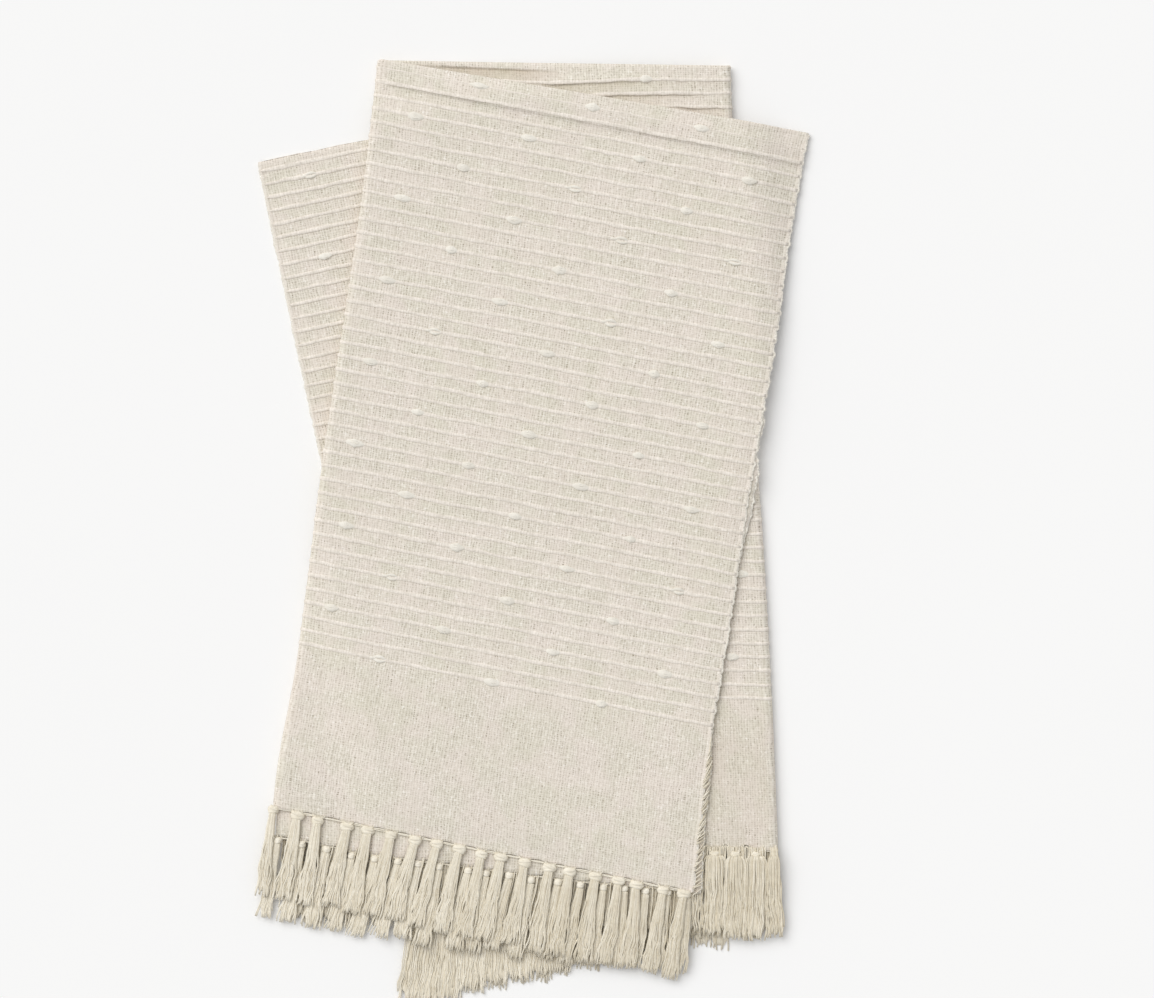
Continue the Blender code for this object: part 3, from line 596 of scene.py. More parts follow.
def relief_of(panel_at, along):
    """Height of the right side above its mean: sag between ribs, the rolled rim and unevenness."""
    x = unfolded_x(panel_at)
    offset, _ = rib_offset(along)
    gap = edge_gap(panel_at)
    sag = by_panel(SAG_BETWEEN_RIBS, panel_at) * (np.abs(offset) < RIB_PITCH / 2)
    relief = -sag * (0.5 - 0.5 * np.cos(2 * math.pi * offset / RIB_PITCH))
    relief = relief + uneven("fine_relief", x, along) + uneven("broad_relief", x, along)
    rim = sum(height * MM * bell(gap - place * MM, width * MM) for height, place, width in RIM)
    return relief + rim - np.where(underneath(panel_at, along), UNDERSIDE_ROOM, 0)


def loops_of(panel_at, along):
    """Reach of the selvedge past its line: a loop at each rib, a notch beside it, and small weft turns."""
    offset, number = rib_offset(along)
    loop = LOOP_REACH * (1 + uneven("loop", number)) * bell(offset, LOOP_WIDTH)
    beside = offset * np.sign(along) - (NOTCH_PAST_RIB + uneven("notch_place", number)) * MM
    deep = np.clip(0.8 + uneven("notch_depth", number), 0, 2)
    notch = NOTCH_DEPTH * deep * bell(beside, NOTCH_WIDTH)
    loose = uneven("loose_edge", along) * (np.abs(offset) > RIB_PITCH / 2)
    clean = np.where(panel_at > 4, BOTTOM_LOOPS, 1.0)
    turns = (loop - notch + loose) * clean + uneven("weft_turns", along) + uneven("edge_wander", along)
    return turns * np.clip(1 - edge_gap(panel_at) / LOOP_BAND, 0, 1) ** 1.5


def hem_dip(panel_at, half):
    """How far a hem lies past its mean line: it is drawn down at each knot and rises between knots."""
    sag = table(BACK_HEM_SAG, panel_at) * MM if half == "back" else 0
    return by_panel(HEM_MEAN, panel_at) + sag + by_panel(HEM_DIP, panel_at) * tassel_phase(panel_at, half)


def woven_along(panel_at, along):
    """Where a place along the sheet really lies: ribs wander a little, and a hem dips to each knot."""
    wander = uneven("rows", unfolded_x(panel_at), along)
    moved = along
    for half, sign in SIGN.items():
        share = np.clip((sign * along - LENGTH[half] + HEM_BAND) / HEM_BAND, 0, 1)
        moved = moved + sign * share**1.5 * hem_dip(panel_at, half)
        wander = wander * (1 - share)
    near_fold = np.clip(np.abs(along - fold_line(panel_at)) / CALM_FOLD, 0, 1)
    return moved + wander * near_fold


def cloth_surface(panel_at, along, wrong_side=False):
    """World points of the sheet's right or wrong side at places of the unfolded sheet."""
    panel_at, along = np.asarray(panel_at, float), np.asarray(along, float)
    loops = loops_of(panel_at, along)
    real = woven_along(panel_at, along)
    if wrong_side:
        return sheet_point(panel_at, real, INNER, 0.0, loops)
    points = sheet_point(panel_at, real, OUTER, relief_of(panel_at, along), loops)
    points[..., 2] = np.maximum(points[..., 2], 0)
    return points


def rib_rows(low, high, offsets):
    """Places along the sheet of the rows on each rib and between ribs, within low and high."""
    centres = FIRST_RIB + np.arange(-BACK_RIBS, FRONT_RIBS) * RIB_PITCH
    rows = (centres[:, None] + np.array(offsets) * MM).ravel()
    first, last = rows.min(), rows.max()
    plain = [np.arange(low, first - PLAIN_STEP, PLAIN_STEP), np.arange(last + PLAIN_STEP, high, PLAIN_STEP)]
    rows = np.concatenate([rows, *plain])
    return rows[(rows > low) & (rows < high)]


def columns_between(low, high, step, least):
    """Panel coordinates from low to high, about step apart on the sheet."""
    width = float(unfolded_x(high) - unfolded_x(low))
    return np.linspace(low, high, max(least, round(width / step) + 1))


class Lattice:
    """Points on the unfolded sheet, from which one side's triangles are made."""

    def __init__(self):
        self.points = {}

    def keep(self, panel_at, along):
        for x, y in zip(unfolded_x(panel_at), along):
            self.points[(round(float(x), 7), round(float(y), 7))] = True

    def add(self, panel_at, along):
        """Adds points, leaving out any that fall in the turn of the half fold."""
        panel_at, along = np.broadcast_arrays(np.asarray(panel_at, float), np.asarray(along, float))
        panel_at, along = panel_at.ravel(), along.ravel()
        clear = np.abs(along - fold_line(panel_at)) > HALF_FOLD_ARC + FOLD_CLEARANCE
        self.keep(panel_at[clear], along[clear])

    def block(self, low, high, step, rows):
        """A grid between two panel coordinates, with columns about step apart."""
        grid_p, grid_a = np.meshgrid(columns_between(low, high, step, 2), rows, indexing="ij")
        self.add(grid_p, grid_a)

    def strip(self, strip, margin, step, rows):
        """A grid on a strip that lies open to view, with a margin under the panel that covers the rest."""
        low, high = strip["between"]
        for row in rows:
            distance = SIGN[strip["half"]] * row / MM
            if low - 8 < distance < high + 8:
                width = table(strip["shows"], distance) + margin
                count = max(2, round(width * MM / step))
                across = strip["panel"][0] + 1 - np.linspace(0, width / strip["width"], count)
                self.add(across[across < 4.985], row)

    def frame(self, side_step, end_step, turn_step, turn_rows, hem_gaps, hem_step):
        """The sheet's four sides, the turn of the half fold and rows close to the hems."""
        front, back = LENGTH["front"], -LENGTH["back"]
        for panel_at in (0.0, 5.0):
            self.add(panel_at, np.linspace(back, front, round((front - back) / side_step) + 1))
        for low in range(5):
            columns = columns_between(low, low + 1, end_step, 9)
            self.add(columns, front)
            self.add(columns, back)
            columns = columns_between(low, low + 1, turn_step, 9)
            for share in np.linspace(-1, 1, turn_rows):
                self.keep(columns, fold_line(columns) + share * HALF_FOLD_ARC)
        for gap in hem_gaps:
            for low, high in ((0.01, 1), (1, 2), (2, 3), (3, 4), (4, 4.99)):
                self.block(low, high, hem_step, [front - gap * MM, back + gap * MM])

    def triangles(self):
        """Delaunay triangles of the points inside the sheet's border."""
        points = sorted(self.points)
        low, high = -LENGTH["back"], LENGTH["front"]
        corners = [(0.0, low), (WIDTH, low), (WIDTH, high), (0.0, high)]
        border = [int(np.argmin(np.abs(np.array(points) - corner).sum(axis=1))) for corner in corners]
        edges = [(border[k], border[(k + 1) % 4]) for k in range(4)]
        made = delaunay_2d_cdt(points, edges, [], 1, 1e-8)
        return np.array([tuple(v) for v in made[0]]), np.array([tuple(f) for f in made[2]])


def right_side():
    """Places and triangles of the right side, fine where it can be seen."""
    lattice = Lattice()
    front, back = LENGTH["front"], LENGTH["back"]
    lattice.frame(1.1 * MM, 3.2 * MM, 3.8 * MM, 9, (2.2, 4.6, 7.5), 3.4 * MM)
    fine = rib_rows(-back + 1 * MM, front - 1 * MM, FINE_ROWS)
    some = rib_rows(-back + 1 * MM, front - 1 * MM, SOME_ROWS)
    blocks = [
        (0.012, 1.0, 4.0, fine[fine > 0]),
        (0.012, 1.0, 4.0, np.array(CREASE_ROWS) * MM),
        (1.0, 1.6, 1.5, fine[fine > 0]),
        (1.6, 2.0, 2.4, some[some > 0]),
        (2.0, 3.0, 16, some[some > 0]),
        (3.0, 4.0, 2.4, some[some > 0]),
        (4.0, 4.66, 16, some[some > 0]),
        (4.68, 4.985, 14, some[some > 345 * MM]),
        (0.05, 1.0, 16, some[some < 0]),
        (1.0, 2.0, 2.4, some[some < 0]),
        (2.02, 2.72, 16, some[some < -66 * MM]),
        (3.0, 3.6, 1.5, fine[fine < 0]),
        (3.6, 4.0, 2.4, some[some < 0]),
        (4.05, 4.95, 16, some[some < 0]),
    ]
    for low, high, step, rows in blocks:
        lattice.block(low, high, step * MM, rows)
    lattice.strip(OPEN_STRIPS[0], 16, 3.8 * MM, fine[(fine > -12 * MM) & (fine < 350 * MM)])
    lattice.strip(OPEN_STRIPS[1], 70, 3.6 * MM, pleat_rows())
    lattice.strip(OPEN_STRIPS[2], 18, 3.6 * MM, fine[fine < -390 * MM])
    steps = np.arange(-back + 1 * MM, front, 1.2 * MM)
    for gap in (1.0, 2.4, 4.4):
        lattice.add(gap * MM / TOP_WIDTH, steps)
        lattice.add(5 - gap * MM / BOTTOM_WIDTH, steps)
    return lattice.triangles()


def pleat_rows():
    """Rows behind the half fold on the middle panel's back, close together at each pleat and rib."""
    ribs = rib_rows(-64 * MM, -2 * MM, FINE_ROWS)
    pleats = np.array([pleat_along(one) for one in PLEATS])
    steps = np.array([-3.0, -1.2, -0.5, 0, 0.5, 1.2, 3.0]) * MM
    rows = np.unique(np.round(np.concatenate([ribs, (pleats[:, None] + steps).ravel()]), 5))
    return rows[np.concatenate([[True], np.diff(rows) > 0.25 * MM])]


def wrong_side():
    """Places and triangles of the wrong side, which is plainer."""
    lattice = Lattice()
    front, back = LENGTH["front"], LENGTH["back"]
    lattice.frame(1.6 * MM, 3.2 * MM, 14 * MM, 7, (3.0, 7.0), 4.0 * MM)
    rows = np.arange(-back + 12 * MM, front - 10 * MM, 13 * MM)
    near_fold = fold_line(0.5) + np.array([7, 10, 15, 20, 24, 28, 33, 40]) * MM
    blocks = [
        (0.025, 1, 14, rows), (1, 2, 2.4, rows), (2, 3, 14, rows), (3, 4, 2.4, rows), (4, 4.975, 14, rows),
        (0.025, 1, 13, near_fold), (2, 3, 13, -near_fold),
    ]
    for low, high, step, places in blocks:
        lattice.block(low, high, step * MM, places)
    for panel_at in (3 * MM / TOP_WIDTH, 5 - 3 * MM / BOTTOM_WIDTH):
        lattice.add(panel_at, np.arange(-back + 2 * MM, front, 3 * MM))
    return lattice.triangles()


def rim_sides(flat):
    """Vertex numbers along the four sides of the unfolded sheet, each in order."""
    x, y = flat[:, 0], flat[:, 1]
    sides = []
    for values, order, end in ((x, y, x.min()), (x, y, x.max()), (y, x, y.min()), (y, x, y.max())):
        on = np.flatnonzero(np.abs(values - end) < NEAR)
        sides.append((on[np.argsort(order[on])], order))
    return sides


def zip_sides(first, first_at, second, second_at, shift):
    """Triangles between two rows of points, each sorted by its place along a common side."""
    i = j = 0
    faces = []
    while i < len(first) - 1 or j < len(second) - 1:
        step_first = j == len(second) - 1
        if not step_first and i < len(first) - 1:
            step_first = first_at[first[i + 1]] <= second_at[second[j + 1]]
        if step_first:
            faces.append((first[i], first[i + 1], second[j] + shift))
            i += 1
        else:
            faces.append((first[i], second[j + 1] + shift, second[j] + shift))
            j += 1
    return faces


def make_piece(name, points, groups, values=(), uv=None, outwards=False):
    """One mesh piece from points and arrays of faces, with named values and a UV place at each point."""
    mesh = bpy.data.meshes.new(name)
    mesh.vertices.add(len(points))
    mesh.vertices.foreach_set("co", np.asarray(points, np.float32).ravel())
    sizes = np.concatenate([np.full(len(g), g.shape[1]) for g in groups])
    corners = np.concatenate([g.ravel() for g in groups]).astype(np.int32)
    mesh.loops.add(len(corners))
    mesh.loops.foreach_set("vertex_index", corners)
    mesh.polygons.add(len(sizes))
    mesh.polygons.foreach_set("loop_start", np.concatenate([[0], np.cumsum(sizes)[:-1]]).astype(np.int32))
    mesh.update(calc_edges=True)
    mesh.validate()
    for label, numbers in dict(values).items():
        attribute = mesh.attributes.new(label, "FLOAT", "POINT")
        attribute.data.foreach_set("value", np.asarray(numbers, np.float32))
    if uv is not None:
        layer = mesh.uv_layers.new(name="cloth")
        loops = np.zeros(len(mesh.loops), np.int32)
        mesh.loops.foreach_get("vertex_index", loops)
        layer.data.foreach_set("uv", np.asarray(uv, np.float32)[loops].ravel())
    if outwards:
        shape = bmesh.new()
        shape.from_mesh(mesh)
        bmesh.ops.recalc_face_normals(shape, faces=shape.faces)
        shape.to_mesh(mesh)
        shape.free()
    mesh.shade_smooth()
    piece = bpy.data.objects.new(name, mesh)
    bpy.context.scene.collection.objects.link(piece)
    return piece


def weave_place(panel_at, along):
    """Place in the weave in metres: warps run along the panel's visible edge."""
    edges = (LEFT_FOLD, RIGHT_FOLD, BOTTOM_SELVEDGE)
    left, right, end = [edge_curve(edge, np.abs(along)) for edge in edges]
    middle_width = np.linalg.norm(right - left, axis=-1)
    bottom_width = np.linalg.norm(right - end, axis=-1)
    u = unfolded_x(panel_at)
    u = np.where((panel_at > 2) & (panel_at < 3), SHEET_KNOTS[3] - (3 - panel_at) * middle_width, u)
    u = np.where(panel_at > 4, WIDTH - (5 - panel_at) * bottom_width, u)
    return np.stack([u, along], axis=-1)


def pleat_shade(panel_at, along):
    """Share of shade, 0 to 1: behind the middle panel's pleats and between the top panel's layers."""
    distance = behind_fold(panel_at, along)
    shade = np.zeros_like(along)
    for one in PLEATS:
        past = distance - behind_fold(panel_at, pleat_along(one))
        deep = np.clip(past / 0.8 + 1, 0, 1) * bell(np.clip(past, 0, None), one["reach"])
        shade = shade + one["shade"] * table(one["fade"], panel_at) * deep
    shade = np.maximum(np.clip(shade, 0, 1), table(MIDDLE_SHADE, distance))
    shade = np.where((along < 0) & (panel_at > 2) & (panel_at < 3), shade, 0)
    between_layers = (along < -LAYER_SHADE_FROM) & (panel_at * TOP_WIDTH < LAYER_SHADE_TO)
    return np.where(between_layers, LAYER_SHADE, shade)


def build_cloth():
    """The whole sheet as one piece: right side, wrong side, selvedges and hems."""
    flat_out, faces_out = right_side()
    flat_in, faces_in = wrong_side()
    shift = len(flat_out)
    rim = []
    for (outer, outer_at), (inner, inner_at) in zip(rim_sides(flat_out), rim_sides(flat_in)):
        rim += zip_sides(outer, outer_at, inner, inner_at, shift)
    x, along = np.concatenate([flat_out, flat_in]).T
    panel_at = panel_coordinate(x)
    points = np.vstack([
        cloth_surface(panel_at[:shift], along[:shift]),
        cloth_surface(panel_at[shift:], along[shift:], wrong_side=True),
    ])
    faces = np.vstack([faces_out, faces_in + shift, np.array(rim)])
    # The "pleat" value is the share of painted shade on the weave.
    values = {"edge": bell(edge_gap(panel_at), 2.4 * MM), "pleat": pleat_shade(panel_at, along)}
    return make_piece("throw_cloth", points, [faces], values, weave_place(panel_at, along), outwards=True)


def ring_faces(tubes, rings, spokes):
    """Side quads and end faces of closed tubes, whose points are numbered tube by tube, ring by ring."""
    number = np.arange(tubes * rings * spokes).reshape(tubes, rings, spokes)
    turned = np.roll(number, -1, axis=2)
    quads = np.stack([number[:, :-1], turned[:, :-1], turned[:, 1:], number[:, 1:]], axis=-1).reshape(-1, 4)
    return quads, np.concatenate([number[:, 0, ::-1], number[:, -1]])


class Yarns:
    """Gathers tubes and other closed bodies into one piece, with a tone for each."""

    def __init__(self):
        self.points, self.groups, self.tones, self.count = [], {}, [], 0

    def add(self, points, groups, tones):
        """Adds bodies of as many points each, with one tone for each body."""
        self.points.append(points.reshape(-1, 3))
        for group in groups:
            self.groups.setdefault(group.shape[1], []).append(group + self.count)
        total = len(self.points[-1])
        self.tones.append(np.repeat(tones, total // np.size(tones)))
        self.count += total

    def add_tubes(self, paths, radii, sides, tones, flatten=1.0, guide=(0, 0, 1.0)):
        """Tubes along paths (tube, step, xyz), or along one path, with one radius or one for each point.

        A path never runs along guide, which gives the tubes their upward direction.
        """
        paths = np.reshape(paths, (-1, *np.shape(paths)[-2:]))
        radii = np.broadcast_to(radii, paths.shape[:2])
        run = unit(np.gradient(paths, axis=1))
        side = unit(np.cross(run, np.array(guide)))
        up = np.cross(side, run)
        angle = 2 * math.pi * np.arange(sides) / sides
        ring = side[:, :, None] * np.cos(angle)[:, None] + up[:, :, None] * np.sin(angle)[:, None] * flatten
        points = paths[:, :, None] + ring * radii[:, :, None, None]
        self.add(points, ring_faces(*paths.shape[:2], sides), tones)

    def piece(self, name):
        points = np.vstack(self.points)
        points[:, 2] = np.maximum(points[:, 2], 0)
        groups = [np.vstack(found) for found in self.groups.values()]
        return make_piece(name, points, groups, {"tone": np.concatenate(self.tones)})


def rib_places():
    """Along-sheet places of the ribs with each rib's number."""
    return [(k, FIRST_RIB + k * RIB_PITCH) for k in range(-BACK_RIBS, FRONT_RIBS)]


def open_stretches(number, along):
    """Stretches of a rib that lie open to view, as panel coordinates."""
    found = [(0.0, TOP_RIB_END)] if number >= 0 else []
    for strip in OPEN_STRIPS:
        start, end = strip["panel"]
        distance = SIGN[strip["half"]] * (along - fold_line(end)) / MM
        if strip["between"][0] < distance < strip["between"][1]:
            shown = table(strip["shows"], distance) / strip["width"]
            found.append((start + 1 - shown, end))
    return found


def nub_places(number, stretch):
    """Panel coordinates of the nubs on one open stretch of a rib."""
    if number in MIDDLE_NUBS and stretch[0] < MIDDLE_NUBS[number] < stretch[1]:
        return [MIDDLE_NUBS[number]]
    row, rest = divmod(number, RIBS_PER_NUB_ROW)
    if rest or number < 0:
        return []
    top_width = TOP_WIDTH - TOP_WIDTH_LOST * number / FRONT_RIBS
    bottom_from = WIDTH - BOTTOM_WIDTH + BOTTOM_NUB_SHIFT
    spans = [(0, table(TOP_NUB_SHIFT, number) * MM, top_width), (4, bottom_from, BOTTOM_WIDTH)]
    found = []
    for step in range(1, int(WIDTH / NUB_SPACING) + 1):
        for start, panel_from, width in spans:
            at = start + (step * NUB_SPACING - panel_from) / width
            on_panel = start + NUB_MARGIN < at < start + 1 - NUB_MARGIN
            in_view = stretch[0] + NUB_MARGIN < at < stretch[1] - NUB_MARGIN
            if (step + row) % 2 == 0 and on_panel and in_view:
                found.append(at)
    return found


def rib_columns(low, high, step):
    """Panel coordinates along a rib, close together where it turns round a lengthwise fold."""
    found = []
    for start in range(5):
        first, last = max(low, start), min(high, start + 1)
        if last > first:
            found.append(columns_between(first, last, step if start % 2 == 0 else FOLD_RIB_STEP, 3))
    return np.unique(np.concatenate(found))


def rib_body(panel_at, along, number):
    """Points round a rib at places across the sheet (place, point of the section, xyz), and their UVs."""
    x = unfolded_x(panel_at)
    gap = edge_gap(panel_at)
    rows = along + uneven("rib_line", x, number) * np.clip(gap / RIB_END, 0, 1)
    here = cloth_surface(panel_at, rows)
    run = unit(np.gradient(here, axis=0))
    real = woven_along(panel_at, rows)
    warp = sheet_point(panel_at, real + 1 * MM, OUTER) - sheet_point(panel_at, real - 1 * MM, OUTER)
    warp = unit(warp - run * np.sum(warp * run, axis=1, keepdims=True))
    out = np.cross(run, warp)
    thick = 1 + uneven("rib_thickness", x, number)
    thick = thick + 1.1 * np.clip(uneven("rib_slub", x, number) - 0.72, 0, 1)
    low, high = FLAT_RIBS.get(number, (9, 9))
    thick = thick * np.where((panel_at >= low) & (panel_at <= high), FLAT_RIB, 1)
    thick = thick * np.clip(gap / RIB_END, np.where(panel_at > 4, 0.3, 0.75), 1)
    across = by_panel(RIB_HALF_WIDTH, panel_at) * thick
    rise = np.where(underneath(panel_at, rows), UNDERSIDE_ROOM, by_panel(RIB_RISE, panel_at) * thick)
    section = np.array(RIB_SECTION)
    points = here[:, None] + (across[:, None] * section[:, 0])[..., None] * warp[:, None]
    points = points + (rise[:, None] * section[:, 1])[..., None] * out[:, None]
    points[..., 2] = np.maximum(points[..., 2], 0)
    sideways = np.stack([section[:, 0] * 0, section[:, 0]], axis=1) * RIB_HALF_WIDTH["top"]
    return points, weave_place(panel_at, rows)[:, None] + sideways


def build_ribs():
    """The raised ribs: thick wefts that stand proud of the sheet's right side wherever it shows."""
    yarns, places = Yarns(), []
    for number, along in rib_places():
        stretches = [(*stretch, RIB_STEP) for stretch in open_stretches(number, along)]
        if number < 0:
            stretches.append((*UNDERSIDE_RIBS, UNDERSIDE_RIB_STEP))
        for low, high, step in stretches:
            panel_at = rib_columns(max(low - 0.03, math.floor(low) + 0.002), min(high, 4.998), step)
            body, uv = rib_body(panel_at, along, number)
            yarns.add(body, ring_faces(1, *body.shape[:2]), 1.0)
            places.append(uv.reshape(-1, 2))
    groups = [np.vstack(found) for found in yarns.groups.values()]
    return make_piece("weft_ribs", np.vstack(yarns.points), groups, uv=np.vstack(places), outwards=True)


def surface_frame(panel_at, along):
    """A point of the right side with unit vectors along the rib, across it and outwards."""
    step = 0.004
    points = cloth_surface([panel_at, panel_at + step, panel_at], [along, along, along + 3 * MM])
    run = unit(points[1] - points[0])
    out = unit(np.cross(run, points[2] - points[0]))
    if out[2] < 0:
        out = -out
    return points[0], run, np.cross(out, run), out


def slub_blob(yarns, rng, frame_at, length, width, kind):
    """One nub: a thick belly of soft yarn, or two strands that part round a small hole."""
    here, run, side, out = frame_at

    def path(along, across, lift):
        return here + np.outer(along, run) + np.outer(across, side) + np.outer(lift, out)

    steps = np.linspace(-1, 1, 17)
    bow = np.clip(np.cos(steps * math.pi / 2), 0, 1)
    swell = bow**1.1
    tone = rng.uniform(0.3, 0.9)
    if kind == "ring":
        for hand in (-1, 1):
            parting = hand * width * 0.27 * bow**0.6
            strand = path(steps * length * 0.46, parting, swell * NUB_RISE * 0.3 - SUNK)
            radius = (0.8 + 0.9 * swell) * MM * rng.uniform(0.9, 1.2)
            yarns.add_tubes(strand, radius, 9, tone, 0.75)
        tail = path(np.linspace(0.3, 1.35, 17) * length * 0.6, 0, 0.6 * MM * swell - SUNK)
        yarns.add_tubes(tail, (0.6 + 0.8 * swell) * MM, 8, tone, 0.7)
        return
    belly = rng.uniform(-0.2, 0.9) * MM * swell
    lobes = 0.06 * np.sin(steps * rng.uniform(4, 8) + rng.uniform(0, 6.3))
    lobes = lobes + 0.05 * np.sin(steps * rng.uniform(9, 13) + rng.uniform(0, 6.3))
    radius = 0.9 * MM + (width / 2 - 0.9 * MM) * swell * (1 + lobes)
    flat = 0.44 if kind == "lens" else 0.5
    body = path(steps * length * 0.68, belly, swell * (NUB_RISE - flat * width / 2) - SUNK)
    yarns.add_tubes(body, radius, 14, tone, flat)
    for _ in range(3):
        lean = rng.uniform(-0.7, 0.7) * width / 2
        across = belly + lean * swell * np.sign(steps * rng.uniform(-1, 1) + 0.7)
        lift = swell * (NUB_RISE - SUNK) * (1 - 0.5 * (lean / (width / 2)) ** 2) - 0.5 * MM
        strand = path(steps * length * 0.6, across, lift)
        yarns.add_tubes(strand, (0.35 + 0.45 * swell) * MM, 5, rng.uniform(0.3, 1))


def build_nubs():
    """Slub nubs: short lengths of thick untwisted yarn that bulge out of a rib."""
    yarns = Yarns()
    rng = np.random.RandomState(21)
    for number, along in rib_places():
        for stretch in open_stretches(number, along):
            for panel_at in nub_places(number, stretch):
                kind = rng.choice(list(NUB_KINDS), p=list(NUB_KINDS.values()))
                length = NUB_LENGTH * rng.uniform(0.88, 1.2) * (0.78 if kind == "round" else 1)
                width = NUB_WIDTH * rng.uniform(0.82, 1.15)
                nudge = rng.uniform(-0.006, 0.006)
                slub_blob(yarns, rng, surface_frame(panel_at + nudge, along), length, width, kind)
    return yarns.piece("slub_nubs")


def build_selvedges():
    """The rolled yarn along each selvedge, beaded where the wefts turn round it."""
    yarns = Yarns()
    rng = np.random.RandomState(55)
    for panel_at, side, thick in ((0, 1, 1.0), (5, -1, 0.8)):
        for half, sign in SIGN.items():
            fold = float(fold_line(panel_at))
            along = fold + sign * np.arange(4 * MM, LENGTH[half] - sign * fold - 0.5 * MM, SELVEDGE_STEP)
            at = np.full_like(along, panel_at)
            edge = (cloth_surface(at, along) + cloth_surface(at, along, wrong_side=True)) / 2
            shifted = along + uneven("selvedge_bead", along, more=panel_at)
            beads = 1.6 * np.abs(np.sin(math.pi * shifted / SELVEDGE_BEAD)) ** 0.7 - 1
            swell = uneven("selvedge_swell", along, more=panel_at)
            offset, _ = rib_offset(along)
            edge[:, 2] += 0.12 * MM * beads
            edge[:, 0] += (0.25 * MM * swell + 0.2 * MM) * side
            radius = SELVEDGE_YARN * (1 + 0.15 * beads + 0.24 * swell + 0.25 * bell(offset, 2.0 * MM))
            yarns.add_tubes(edge, radius * thick, 6, rng.uniform(0.5, 0.8))
    return yarns.piece("selvedge_yarns")


def row_height(row, x, y, place):
    """Height of points of a fringe row: place is -1 at its underside, 1 on top."""
    share = sink(THIN_OUT, row["panel"], x, y)
    height = panel_floor(row["panel"], x, y) + share * (row["centre"] + place * row["thick"] / 2) * MM
    return settle(np.stack([x, y, height], axis=-1))[..., 2]


def on_row(row, plan, place, lift, least):
    """Points of a fringe row over plan points, moved up by lift and at least so high."""
    height = row_height(row, plan[..., 0], plan[..., 1], place) + lift
    return np.concatenate([plan, np.maximum(height, least)[..., None]], axis=-1)


def row_places(panel, half):
    """Tassels of one fringe row. One that falls in a lengthwise fold goes to the panel nearer to it."""
    low, high = PANEL_SPAN[panel]
    low_margin, high_margin = END_MARGIN.get((panel, half), END_MARGIN[panel])
    first, last = TASSEL_SPAN[panel]
    places = [q for q in HEM_PLACES[half] if first <= q < last]
    far = high - high_margin
    if (panel, half) in (("top", "front"), ("top", "back"), ("middle", "back")):
        far = high + FOLD_TASSEL[panel]
    return [min(max(q, low + low_margin), far) for q in places]


def add_knot(yarns, rng, centre, across, out, size, turns, light):
    """A tied knot: a puffy ball of yarn with two soft turns round it."""
    rings, spokes = 9, 14
    plan_a = np.array([across[0], across[1], 0])
    plan_b = np.array([out[0], out[1], 0])
    up = np.array([0, 0, 1.0])
    theta = np.linspace(0.12, math.pi - 0.12, rings)[:, None]
    phi = 2 * math.pi * np.arange(spokes)[None, :] / spokes
    lumps = np.sin(3 * phi + 2 * theta + rng.uniform(0, 6.3))
    lumpy = 1 + 0.06 * np.sin(2 * phi + rng.uniform(0, 6.3)) + 0.06 * lumps
    a = np.sin(theta) ** 0.8 * np.cos(phi) * lumpy * (size[0] / 2 - 0.1 * MM)
    b = np.cos(theta) * lumpy * size[1] / 2
    c = np.sin(theta) ** 0.8 * np.sin(phi) * lumpy * (size[2] / 2 - 0.1 * MM)
    points = centre + a[..., None] * plan_a + b[..., None] * plan_b + c[..., None] * up
    # The rings run against their turn here, so the faces are reversed to look outwards.
    quads, ends = ring_faces(1, rings, spokes)
    tone = light * rng.uniform(0.85, 1.15)
    yarns.add(points, [quads[:, [0, 3, 2, 1]], ends[:, ::-1]], tone)
    turn = np.linspace(0, 2 * math.pi, 17)
    hand = rng.choice([-1, 1])
    for place, tilt, grow in turns:
        tilt = (tilt * hand + rng.uniform(-0.05, 0.05)) * size[1]
        path = centre + np.outer(np.cos(turn) * (size[0] / 2 - KNOT_YARN) * grow, plan_a)
        path = path + np.outer(np.sin(turn) * (size[2] / 2 - 1.35 * MM) * grow, up)
        path = path + np.outer(place * size[1] + tilt * np.cos(turn), plan_b)
        radius = KNOT_YARN * (0.9 + 0.2 * np.abs(np.sin(turn))) * min(1, size[1] / (7 * MM))
        yarns.add_tubes(path, radius, 7, tone + rng.uniform(-0.2, 0.1), guide=plan_b)


